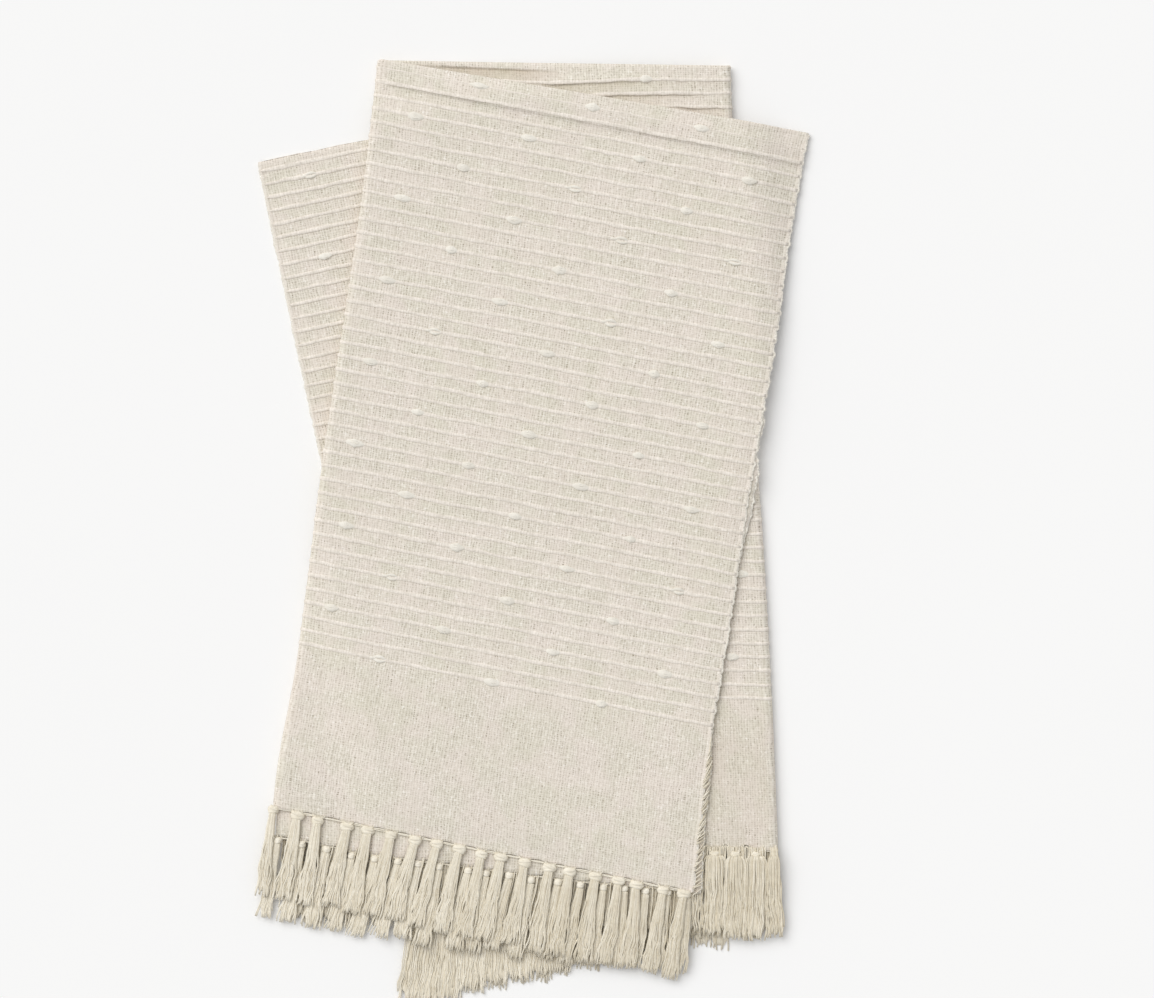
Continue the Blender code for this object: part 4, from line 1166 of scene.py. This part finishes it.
def build_fringe(row, seed):
    """One fringe row: warps gathered from the hem into knots, and full tassels of wavy strands."""
    rng = np.random.RandomState(seed)
    yarns = Yarns()
    half = row["half"]
    places = row_places(row["panel"], half)
    if row["panel"] != "middle":
        places = places[::-1]
    hem = cloth_surface(places, np.full(len(places), SIGN[half] * LENGTH[half]))[:, :2]
    for i, here in enumerate(hem):
        before = hem[i - 1] if i else here - (hem[i + 1] - here)
        after = hem[i + 1] if i < len(hem) - 1 else here + (here - hem[i - 1])
        across = (after - before) / np.linalg.norm(after - before)
        out = np.array([across[1], -across[0]])
        pitch = np.linalg.norm(after - before) / 2
        knot = here + out * (row["drop"] + rng.uniform(-0.9, 0.9)) * MM
        knot = knot + across * rng.uniform(-0.7, 0.7) * MM
        size = np.array(row["knot"]) * MM * rng.uniform(0.9, 1.08, 3)
        level = row_height(row, knot[0], knot[1], 0.0)
        centre = np.array([knot[0], knot[1], max(level - PRESS / 2, size[2] / 2)])
        at_corner = i == (len(hem) - 1 if row["panel"] == "middle" else 0)
        corner = row["corner"] if at_corner else 1.0
        size[0] *= min(corner, 1.0)
        light = KNOT_TONE.get("{}_{}".format(row["panel"], half), OTHER_KNOT_TONE)
        add_knot(yarns, rng, centre, across, out, size, row["turns"], light)
        add_gather(yarns, row, rng, here, knot, across, out, pitch * min(corner, 1.0) ** 2)
        add_tassel(yarns, row, rng, knot + out * size[1] * 0.36, corner)
        add_loose(yarns, row, rng, here, across, pitch * (1.0 if 0 < i < len(hem) - 1 else 0.4))
    return yarns.piece("tassels_{}_{}".format(row["panel"], half))


def add_gather(yarns, row, rng, here, knot, across, out, pitch):
    """Warps that leave the hem side by side and draw together into the knot."""
    reach = GATHER[row["panel"]]
    t = np.linspace(0, 1, 6)
    paths = []
    for offset in np.linspace(-reach, reach, 9) * pitch:
        edge = HEM_DIP[row["panel"]] * (np.cos(2 * math.pi * offset / pitch) - 1) - 1.0 * MM
        start = here + across * offset + out * edge
        bend = here + across * offset * 0.8 + out * (edge * 0.3 + 1.6 * MM)
        finish = knot + across * np.clip(offset * 0.3, -3 * MM, 3 * MM) - out * 1.5 * MM
        plan = np.outer((1 - t) ** 2, start) + np.outer(2 * t * (1 - t), bend) + np.outer(t**2, finish)
        paths.append(on_row(row, plan, rng.uniform(-0.35, 0.25), -PRESS / 2, 0.5 * MM))
    yarns.add_tubes(paths, 0.6 * MM, 5, rng.uniform(0.3, 0.9, len(paths)))


def tassel_axis(row, rng, root, steps, length):
    """Plan points down the middle of a tassel and the plan direction square to it."""
    lean = float(table(LEAN[row["panel"]], root[0] / MM)) + rng.uniform(-0.035, 0.035)
    direction = np.array([lean, -1.0]) / math.hypot(lean, 1.0)
    side = np.array([-direction[1], direction[0]])
    sway = rng.uniform(-1.5, 1.5) * MM * np.sin(steps * math.pi * rng.uniform(0.7, 1.3))
    return root + np.outer(steps * length, direction) + np.outer(sway, side), side


def add_tassel(yarns, row, rng, root, corner):
    """A full tassel: a fluted core, and loose yarns over it that wave, part and spread to their tips."""
    length = row["length"] * MM * rng.uniform(0.96, 1.03)
    half_width = row["spread"] * MM * rng.uniform(0.9, 1.1) * corner
    steps = np.linspace(0, 1, row["steps"])
    width = half_width * table(TASSEL_WIDTH[row["panel"]], steps)
    axis_seed = rng.randint(1 << 30)
    axis, side = tassel_axis(row, np.random.RandomState(axis_seed), root, steps, length)
    add_core(yarns, row, rng, axis_seed, root, length, half_width)
    strands = round(row["strands"] * corner)
    if (row["panel"], row["half"]) == HIDDEN_ROW and root[0] < HIDDEN_TO:
        strands = HIDDEN_STRANDS
    clumps = rng.randint(4, 7)
    clump_at = np.linspace(-1, 1, clumps) + rng.uniform(-0.14, 0.14, clumps)
    clump_phase = rng.uniform(0, 2 * math.pi, (clumps, len(WAVES)))
    upper_count = round(strands * UPPER_STRANDS)
    paths, radii = [], []
    for k in range(strands):
        upper = k < upper_count
        start = rng.uniform(-1, 1)
        if upper:
            start = -1 + 2 * (k + rng.uniform(0.1, 0.9)) / upper_count
        clump = int(np.argmin(np.abs(clump_at - start)))
        pull = CLUMPING[row["panel"]] * steps**1.3
        place = start * (1 - pull) + (clump_at[clump] + rng.uniform(-0.2, 0.2)) * pull
        own = rng.uniform(0.962, 1.02) - (rng.uniform(0.05, 0.14) if rng.uniform() < SHORT_STRANDS else 0)
        reach = steps * own * length
        loose = np.clip((steps - 0.08) * 1.6, 0, 1)
        lateral = place * width
        for wave, (period, size) in enumerate(WAVES):
            phase = clump_phase[clump, wave] + rng.uniform(-1.1, 1.1)
            lateral = lateral + size * MM * loose * np.sin(2 * math.pi * reach / (period * MM) + phase)
        if rng.uniform() < STRAY_STRANDS:
            lateral = lateral + rng.uniform(-4, 4) * MM * steps**2
        plan = root + (axis - root) * own + np.outer(lateral, side)
        round_top = np.clip(1 - np.clip(place, -1, 1) ** 2, 0.05, 1) ** ROUNDNESS[row["panel"]]
        round_top = round_top * table(TASSEL_HEIGHT, steps)
        lift = round_top + rng.uniform(-0.35, 0.12) if upper else -round_top * rng.uniform(0.2, 0.8)
        lift = lift + 0.14 * loose * np.sin(2 * math.pi * reach / (19 * MM) + rng.uniform(0, 6.3))
        radii.append(STRAND_RADIUS * rng.uniform(0.85, 1.15))
        paths.append(on_row(row, plan, lift, 0.1 * MM, radii[-1]))
    # The strands' tones carry painted light and shade by their place in X.
    tones = rng.uniform(0, row["light"], len(paths)) + table(LIGHT_FALLOFF_BY_X, root[0] / MM)
    yarns.add_tubes(paths, np.array(radii)[:, None], 4, tones)


def add_loose(yarns, row, rng, here, across, pitch):
    """Strands that no knot holds: they hang from the hem and fill the gaps between tassels."""
    count = row["loose"]
    if not count or ((row["panel"], row["half"]) == HIDDEN_ROW and here[0] < HIDDEN_TO):
        return
    steps = np.linspace(0, 1, row["steps"])
    offsets = (np.arange(count) + rng.uniform(0.1, 0.9, count)) / count - 0.5
    paths = []
    for offset in offsets:
        length = (row["length"] + row["drop"]) * MM * rng.uniform(0.9, 1.0)
        root = here + across * offset * pitch + np.array([0, 3 * MM])
        axis, side = tassel_axis(row, rng, root, steps, length)
        wave = 0.7 * MM * np.sin(2 * math.pi * steps * length / (33 * MM) + rng.uniform(0, 6.3))
        plan = axis + np.outer(wave * np.clip(steps * 2, 0, 1), side)
        paths.append(on_row(row, plan, rng.uniform(0.0, 0.9), -PRESS / 2, STRAND_RADIUS))
    # The strands' tones carry painted light and shade by their place in X.
    tones = rng.uniform(0, row["light"], count) + table(LIGHT_FALLOFF_BY_X, here[0] / MM)
    yarns.add_tubes(paths, STRAND_RADIUS, 4, tones)


def add_core(yarns, row, rng, axis_seed, root, length, half_width):
    """The dense middle of a tassel, as one fluted body."""
    rings, spokes = 11, 20
    steps = np.linspace(0, CORE_END, rings)
    axis, side = tassel_axis(row, np.random.RandomState(axis_seed), root, steps, length)
    angle = 2 * math.pi * np.arange(spokes) / spokes
    flutes = rng.uniform(-0.08, 0.08, (rings, spokes)) + rng.uniform(-0.12, 0.12, spokes)
    swell = 0.84 + flutes
    swell[-1] *= 0.6
    width = half_width * table(TASSEL_WIDTH[row["panel"]], steps) * 0.93
    across = np.cos(angle)[None, :] * swell * width[:, None]
    lift = np.sin(angle)[None, :] * swell * table(TASSEL_HEIGHT, steps)[:, None] * CORE_HEIGHT[row["panel"]]
    plan = axis[:, None, :] + across[..., None] * side
    points = on_row(row, plan, lift, 0, 0.3 * MM)
    # The core's tone is kept low: painted shade of the strands deep inside the tassel.
    yarns.add(points, ring_faces(1, rings, spokes), rng.uniform(0.15, 0.4))


def add_loose_turns(yarns, rng):
    """Turns of weft that slant from the front layer's edge to the back layer's, near the hem."""
    for distance in np.arange(*LOOSE_TURNS) * MM:
        distance = distance + rng.uniform(-1.6, 1.6) * MM
        slant = rng.uniform(2.0, 9.0) * MM
        behind = distance * LENGTH["back"] / LENGTH["front"]
        low = cloth_surface(np.zeros(1), np.array([distance + slant]))[0]
        high = cloth_surface(np.zeros(1), np.array([-behind]), wrong_side=True)[0]
        share = np.linspace(rng.uniform(-0.3, 0.2), rng.uniform(0.9, 1.35), 7)
        path = low + np.outer(share, high - low)
        path[:, 2] += (0.2 + rng.uniform(0.2, 1.4) * np.sin(np.linspace(0, math.pi, 7))) * MM
        radius = rng.uniform(0.4, 0.75) * MM
        yarns.add_tubes(path, radius, 5, rng.uniform(-0.4, 1))


def build_hem_wefts():
    """The last wefts of each end, which come loose between the knots."""
    yarns = Yarns()
    rng = np.random.RandomState(77)
    panel_at = panel_coordinate(np.linspace(1.5 * MM, WIDTH - 1.5 * MM, 640))
    for half, sign in SIGN.items():
        share = (tassel_phase(panel_at, half) + 1) / 2
        hem = np.full_like(panel_at, sign * LENGTH[half])
        for number, (at_knot, between, thick) in enumerate(((0.0, 1.5, 0.62), (0.2, 2.7, 0.5))):
            past = (at_knot * share + between * (1 - share)) * MM
            past = past + uneven("hem_weft", unfolded_x(panel_at), more=number)
            points = sheet_point(panel_at, woven_along(panel_at, hem) + sign * past, OUTER - 0.5 * MM)
            yarns.add_tubes(points, thick * MM, 5, rng.uniform(0.8, 1))
    add_loose_turns(yarns, rng)
    return yarns.piece("hem_wefts")


class Socket:
    """A node's output, with arithmetic that adds Math nodes."""

    def __init__(self, graph, output):
        self.graph = graph
        self.output = output

    def math(self, operation, other=0.0):
        return self.graph.get("ShaderNodeMath", {0: self, 1: other}, operation=operation)

    def __add__(self, other):
        return self.math("ADD", other)

    def __sub__(self, other):
        return self.math("SUBTRACT", other)

    def __rsub__(self, other):
        return self.graph.get("ShaderNodeMath", {0: other, 1: self}, operation="SUBTRACT")

    def __mul__(self, other):
        return self.math("MULTIPLY", other)

    def __truediv__(self, other):
        return self.math("DIVIDE", other)

    def floor(self):
        return self.math("FLOOR")

    def wave(self, half_turns=2.0):
        """Cosine that goes through so many half turns over each unit."""
        return (self * (half_turns * math.pi)).math("COSINE")

    def span(self, low, high, to_low=0.0, to_high=1.0):
        return self.graph.get("ShaderNodeMapRange", {0: self, 1: low, 2: high, 3: to_low, 4: to_high})


class Graph:
    """A material, with short calls that add its nodes."""

    def __init__(self, name):
        self.material = bpy.data.materials.new(name)
        self.material.use_nodes = True
        self.tree = self.material.node_tree
        self.shader = self.tree.nodes["Principled BSDF"]

    def node(self, kind, inputs=(), **settings):
        made = self.tree.nodes.new(kind)
        for name, value in settings.items():
            setattr(made, name, value)
        for key, value in dict(inputs).items():
            self.feed(made.inputs[key], value)
        return made

    def feed(self, socket, value):
        if isinstance(value, Socket):
            self.tree.links.new(value.output, socket)
        else:
            socket.default_value = value

    def get(self, kind, inputs=(), output=0, **settings):
        return Socket(self, self.node(kind, inputs, **settings).outputs[output])

    def noise(self, vector, scale, detail=2.0, roughness=0.5):
        inputs = {"Vector": vector, "Scale": scale, "Detail": detail, "Roughness": roughness}
        return self.get("ShaderNodeTexNoise", inputs, "Fac")

    def point(self, x, y, z):
        return self.get("ShaderNodeCombineXYZ", {0: x, 1: y, 2: z})

    def field(self, name, u, v):
        across, along, seed, detail, roughness = WEAVE_NOISE[name]
        return self.noise(self.point(u * across, v * along, seed), 1.0, detail, roughness)

    def white(self, x, y, seed=0.0):
        inputs = {"Vector": self.point(x, y, seed)}
        return self.get("ShaderNodeTexWhiteNoise", inputs, "Value", noise_dimensions="3D")

    def mix(self, share, first, second):
        return self.get("ShaderNodeMix", {0: share, 6: first, 7: second}, 2, data_type="RGBA")

    def value(self, name):
        return self.get("ShaderNodeAttribute", (), "Fac", attribute_name=name)


def colour(red, green, blue):
    """A linear colour from its screen values, 0 to 255."""
    return (*[((c / 255 + 0.055) / 1.055) ** 2.4 for c in (red, green, blue)], 1.0)


def weigh(parts):
    """Sum of sockets, each times its share."""
    total = None
    for socket, share in parts:
        total = socket * share if total is None else total + socket * share
    return total


GROUND_LOW = colour(196, 188, 172)
GROUND_HIGH = colour(250, 244, 233)
GROUND_PATCH = colour(215, 211, 190)
GROUND_BLUSH = colour(238, 224, 218)
GROUND_SPECK = colour(255, 253, 249)
PINHOLE_SHADE = colour(150, 138, 117)
PLEAT_SHADE = colour(186, 170, 143)
RIB_LOW = colour(206, 198, 185)
RIB_HIGH = colour(249, 241, 232)
FIBRE_SHADE = colour(178, 166, 142)
FRINGE_TONES = (colour(220, 210, 188), colour(251, 245, 231))
SLUB_TONES = (colour(225, 219, 207), colour(242, 238, 229))
FLOOR_TONES = (colour(247, 247, 247), colour(248, 248, 248))
COTTON = {
    "Roughness": 0.92, "Specular IOR Level": 0.18, "Sheen Weight": 0.12, "Sheen Roughness": 0.5,
    "Sheen Tint": colour(250, 244, 232),
}

# Noise fields of the weave: cells to the metre across and along, seed, detail and roughness. The first
# value of "streak" is cells to the warp thread.
WEAVE_NOISE = {
    "drift": (150.0, 30.0, 0.0, 4.0, 0.6),
    "weft_drift": (40.0, 190.0, 5.0, 4.0, 0.6),
    "streak": (0.83, 95.0, 9.0, 2.0, 0.5),
    "mesh": (70.0, 48.0, 3.0, 3.0, 0.5),
    "fuzz": (900.0, 600.0, 1.0, 3.0, 0.6),
    "cloud": (15.0, 15.0, 7.0, 4.0, 0.5),
    "blush": (30.0, 30.0, 17.0, 3.0, 0.5),
    "rib_fuzz": (420.0, 1100.0, 1.0, 3.0, 0.6),
    "rib_patch": (60.0, 75.0, 6.0, 2.0, 0.5),
}
# The fibres, patches and flecks of the yarns: cells to the metre, detail and roughness.
YARN_NOISE = ((700.0, 3.0, 0.6), (60.0, 2.0, 0.5), (260.0, 2.0, 0.5))
FRINGE_TWIST = 420.0
SLUB_TWIST = 260.0
WARP_DRIFT = 6.2 * MM
WEFT_DRIFT = 5.0 * MM
COLUMN_CELLS = 60.0
BINDER_CELLS = 560.0


def thread_places(g):
    """Sockets for the place in the weave: metres across and along, and in threads, with their drift."""
    axes = g.node("ShaderNodeSeparateXYZ", {0: g.get("ShaderNodeUVMap", uv_map="cloth")})
    u, v = Socket(g, axes.outputs[0]), Socket(g, axes.outputs[1])
    warp_at = (u + (g.field("drift", u, v) - 0.5) * WARP_DRIFT) / WARP_PITCH
    weft_at = (v + (g.field("weft_drift", u, v) - 0.5) * WEFT_DRIFT) / WEFT_PITCH
    return u, v, warp_at, weft_at


def weave_height(warp_at, weft_at, warp_wave, weft_wave):
    """Height of the plain weave: warps and wefts pass over each other in turn."""
    over = warp_at.wave(1.0) * weft_at.wave(1.0)
    warp_top = warp_wave.span(-1.0, 1.0).math("POWER", 0.7) * over.span(-1.0, 1.0, 0.35, 1.0)
    weft_top = weft_wave.span(-1.0, 1.0).math("POWER", 0.7) * over.span(-1.0, 1.0, 0.95, 0.3)
    return warp_top.math("MAXIMUM", weft_top)


def cotton(g, base, lift, strength, depth):
    """Finishes a material as matt cotton, with a base colour and a bump from the height of its yarns."""
    for name, value in COTTON.items():
        g.shader.inputs[name].default_value = value
    g.feed(g.shader.inputs["Base Color"], base)
    bump = g.get("ShaderNodeBump", {"Height": lift, "Strength": strength, "Distance": depth})
    g.feed(g.shader.inputs["Normal"], bump)
    return g.material


def weave_material():
    """Plain weave of uneven cotton yarns: every crossing has its own tone, and some gaps stay open."""
    g = Graph("cotton_weave")
    u, v, warp_at, weft_at = thread_places(g)
    edge = g.value("edge")
    warp_wave, weft_wave = warp_at.wave(), weft_at.wave()
    height = weave_height(warp_at, weft_at, warp_wave, weft_wave)
    column, ply = warp_at.floor(), (warp_at * 2.0).floor()
    chance = g.white(column, weft_at.floor())
    gap = warp_wave.span(-0.2, -0.95) * weft_wave.span(0.7, -0.6)
    openness = g.field("streak", column, v).span(0.36, 0.66) * g.field("mesh", u, v).span(0.3, 0.62)
    openness = openness * chance.span(0.2, 0.9) + chance.span(0.2, 1.0) * 0.4
    pinhole = gap * openness * (1.0 - edge * 0.8)
    float_tone = g.white(ply, (weft_at + ply * 0.5).floor(), 4.0)
    column_tone = g.white(ply, (v * COLUMN_CELLS).floor(), 8.0)
    fuzz = g.field("fuzz", u, v)
    # Partly random tone and partly painted shade: each thread is painted lighter on its crown and darker on
    # its flanks and where it dips under a crossing.
    tone = weigh([
        (float_tone, 0.38), (column_tone, 0.08), (fuzz.span(0.25, 0.75), 0.2),
        (warp_wave.span(-1.0, 1.0), 0.11), (weft_wave.span(-1.0, 1.0), 0.08), (height, 0.2),
    ])
    speck = float_tone.span(0.93, 0.97) * height.span(0.5, 0.9)
    ground = g.mix(tone - 0.045, GROUND_LOW, GROUND_HIGH)
    ground = g.mix(g.field("cloud", u, v).span(0.4, 0.66) * 0.28, ground, GROUND_PATCH)
    ground = g.mix(g.field("blush", u, v).span(0.42, 0.6) * 0.34, ground, GROUND_BLUSH)
    ground = g.mix(speck * 0.5, ground, GROUND_SPECK)
    # Painted shade in the open gaps between threads.
    ground = g.mix(pinhole * 0.66, ground, PINHOLE_SHADE)
    # Painted shade behind the middle panel's pleats, down its lower part and between the top panel's
    # layers.
    ground = g.mix(g.value("pleat") * 0.45, ground, PLEAT_SHADE)
    base = g.mix(edge * fuzz.span(0.3, 0.7, 0.3, 0.55), ground, RIB_HIGH)
    lift = height + fuzz * 0.6 + float_tone * 0.35 - pinhole
    return cotton(g, base, lift, 0.55, 0.45 * MM)


def rib_material():
    """A thick soft weft, faintly beaded where the warps bind it."""
    g = Graph("rib_cotton")
    u, v, warp_at, _ = thread_places(g)
    bead = warp_at.wave().span(-1.0, 0.6)
    binder = g.white((warp_at * 2.0).floor(), (v * BINDER_CELLS).floor(), 2.0)
    fuzz, patch = g.field("rib_fuzz", u, v), g.field("rib_patch", u, v)
    tone = weigh([(fuzz.span(0.25, 0.75), 0.3), (bead, 0.15), (binder, 0.42), (patch.span(0.3, 0.7), 0.25)])
    return cotton(g, g.mix(tone, RIB_LOW, RIB_HIGH), bead * 0.8 + fuzz * 0.6, 0.4, 0.4 * MM)


def yarn_material(name, tones, twist):
    """Soft cotton yarn, whose strands differ a little in tone, with a fine twist."""
    g = Graph(name)
    place = g.get("ShaderNodeTexCoord", (), "Object")
    fibre, patch, fleck = [g.noise(place, *field) for field in YARN_NOISE]
    shade = weigh([(g.value("tone"), 0.6), (patch.span(0.3, 0.7), 0.2), (fleck.span(0.32, 0.68), 0.26)])
    base = g.mix(fibre.span(0.5, 0.75) * 0.2, g.mix(shade, *tones), FIBRE_SHADE)
    inputs = {"Vector": place, "Scale": twist, "Distortion": 3.0, "Detail": 2.0, "Detail Scale": 2.0}
    wave = g.get("ShaderNodeTexWave", inputs, "Fac", bands_direction="DIAGONAL")
    return cotton(g, base, wave + fibre * 0.8, 0.45, 0.25 * MM)


def dress(piece, material):
    piece.data.materials.append(material)
    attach(piece, "root")
    return piece


FLOOR_REACH = 6.0
FLOOR_DROP = 0.05 * MM
WORLD_STRENGTH = 0.55
KEY_STRENGTH = 1.86
KEY_ANGLE = math.radians(50)
KEY_TURN = (math.radians(-28), math.radians(-30), 0)
KEY_COLOUR = (1.0, 0.995, 0.985)


def build_floor():
    mesh = bpy.data.meshes.new("floor")
    turns = ((-1, -1), (1, -1), (1, 1), (-1, 1))
    corners = [(x * FLOOR_REACH, y * FLOOR_REACH, -FLOOR_DROP) for x, y in turns]
    mesh.from_pydata(corners, [], [(0, 1, 2, 3)])
    floor = bpy.data.objects.new("floor", mesh)
    bpy.context.scene.collection.objects.link(floor)
    g = Graph("pale_floor")
    mottle = g.noise(g.get("ShaderNodeTexCoord", (), "Object"), 3.0)
    g.feed(g.shader.inputs["Base Color"], g.mix(mottle, *FLOOR_TONES))
    g.shader.inputs["Roughness"].default_value = 1.0
    g.shader.inputs["Specular IOR Level"].default_value = 0.0
    mesh.materials.append(g.material)


def build_light():
    """A white surround and one very soft lamp from the upper left."""
    world = bpy.data.worlds.new("studio")
    world.use_nodes = True
    background = world.node_tree.nodes["Background"]
    background.inputs[0].default_value = (1.0, 1.0, 1.0, 1.0)
    background.inputs[1].default_value = WORLD_STRENGTH
    bpy.context.scene.world = world
    sun = bpy.data.lights.new("key", "SUN")
    sun.energy = KEY_STRENGTH
    sun.angle = KEY_ANGLE
    sun.color = KEY_COLOUR
    key = bpy.data.objects.new("key", sun)
    key.rotation_euler = KEY_TURN
    bpy.context.scene.collection.objects.link(key)


def build_camera():
    """A camera straight above, which sees the photograph's frame at the throw's height."""
    lens = bpy.data.cameras.new("camera")
    lens.lens = LENS
    lens.sensor_width = SENSOR
    lens.clip_end = 50
    camera = bpy.data.objects.new("camera", lens)
    width = PHOTO_SIZE[0] * PIXEL
    centre_x = (PHOTO_SIZE[0] / 2 - ORIGIN_PIXEL[0]) * PIXEL
    centre_y = (ORIGIN_PIXEL[1] - PHOTO_SIZE[1] / 2) * PIXEL
    camera.location = (centre_x, centre_y, FOCUS_HEIGHT + width * LENS / SENSOR)
    bpy.context.scene.collection.objects.link(camera)
    bpy.context.scene.camera = camera
    bpy.context.scene.view_settings.view_transform = "Standard"
    bpy.context.scene.view_settings.look = "None"


def main():
    weave = weave_material()
    fringe_yarn = yarn_material("fringe_cotton", FRINGE_TONES, FRINGE_TWIST)
    slub = yarn_material("slub_cotton", SLUB_TONES, SLUB_TWIST)
    cloth = dress(build_cloth(), weave)
    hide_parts("throw")
    nubs = dress(build_nubs(), slub)
    ribs = dress(build_ribs(), rib_material())
    selvedges = dress(build_selvedges(), slub)
    wefts = dress(build_hem_wefts(), fringe_yarn)
    for number, row in enumerate(ROWS):
        piece = dress(build_fringe(row, 100 + number), fringe_yarn)
        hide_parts("fringe_{}_{}".format(row["panel"], row["half"]))
    build_floor()
    build_light()
    build_camera()


main()
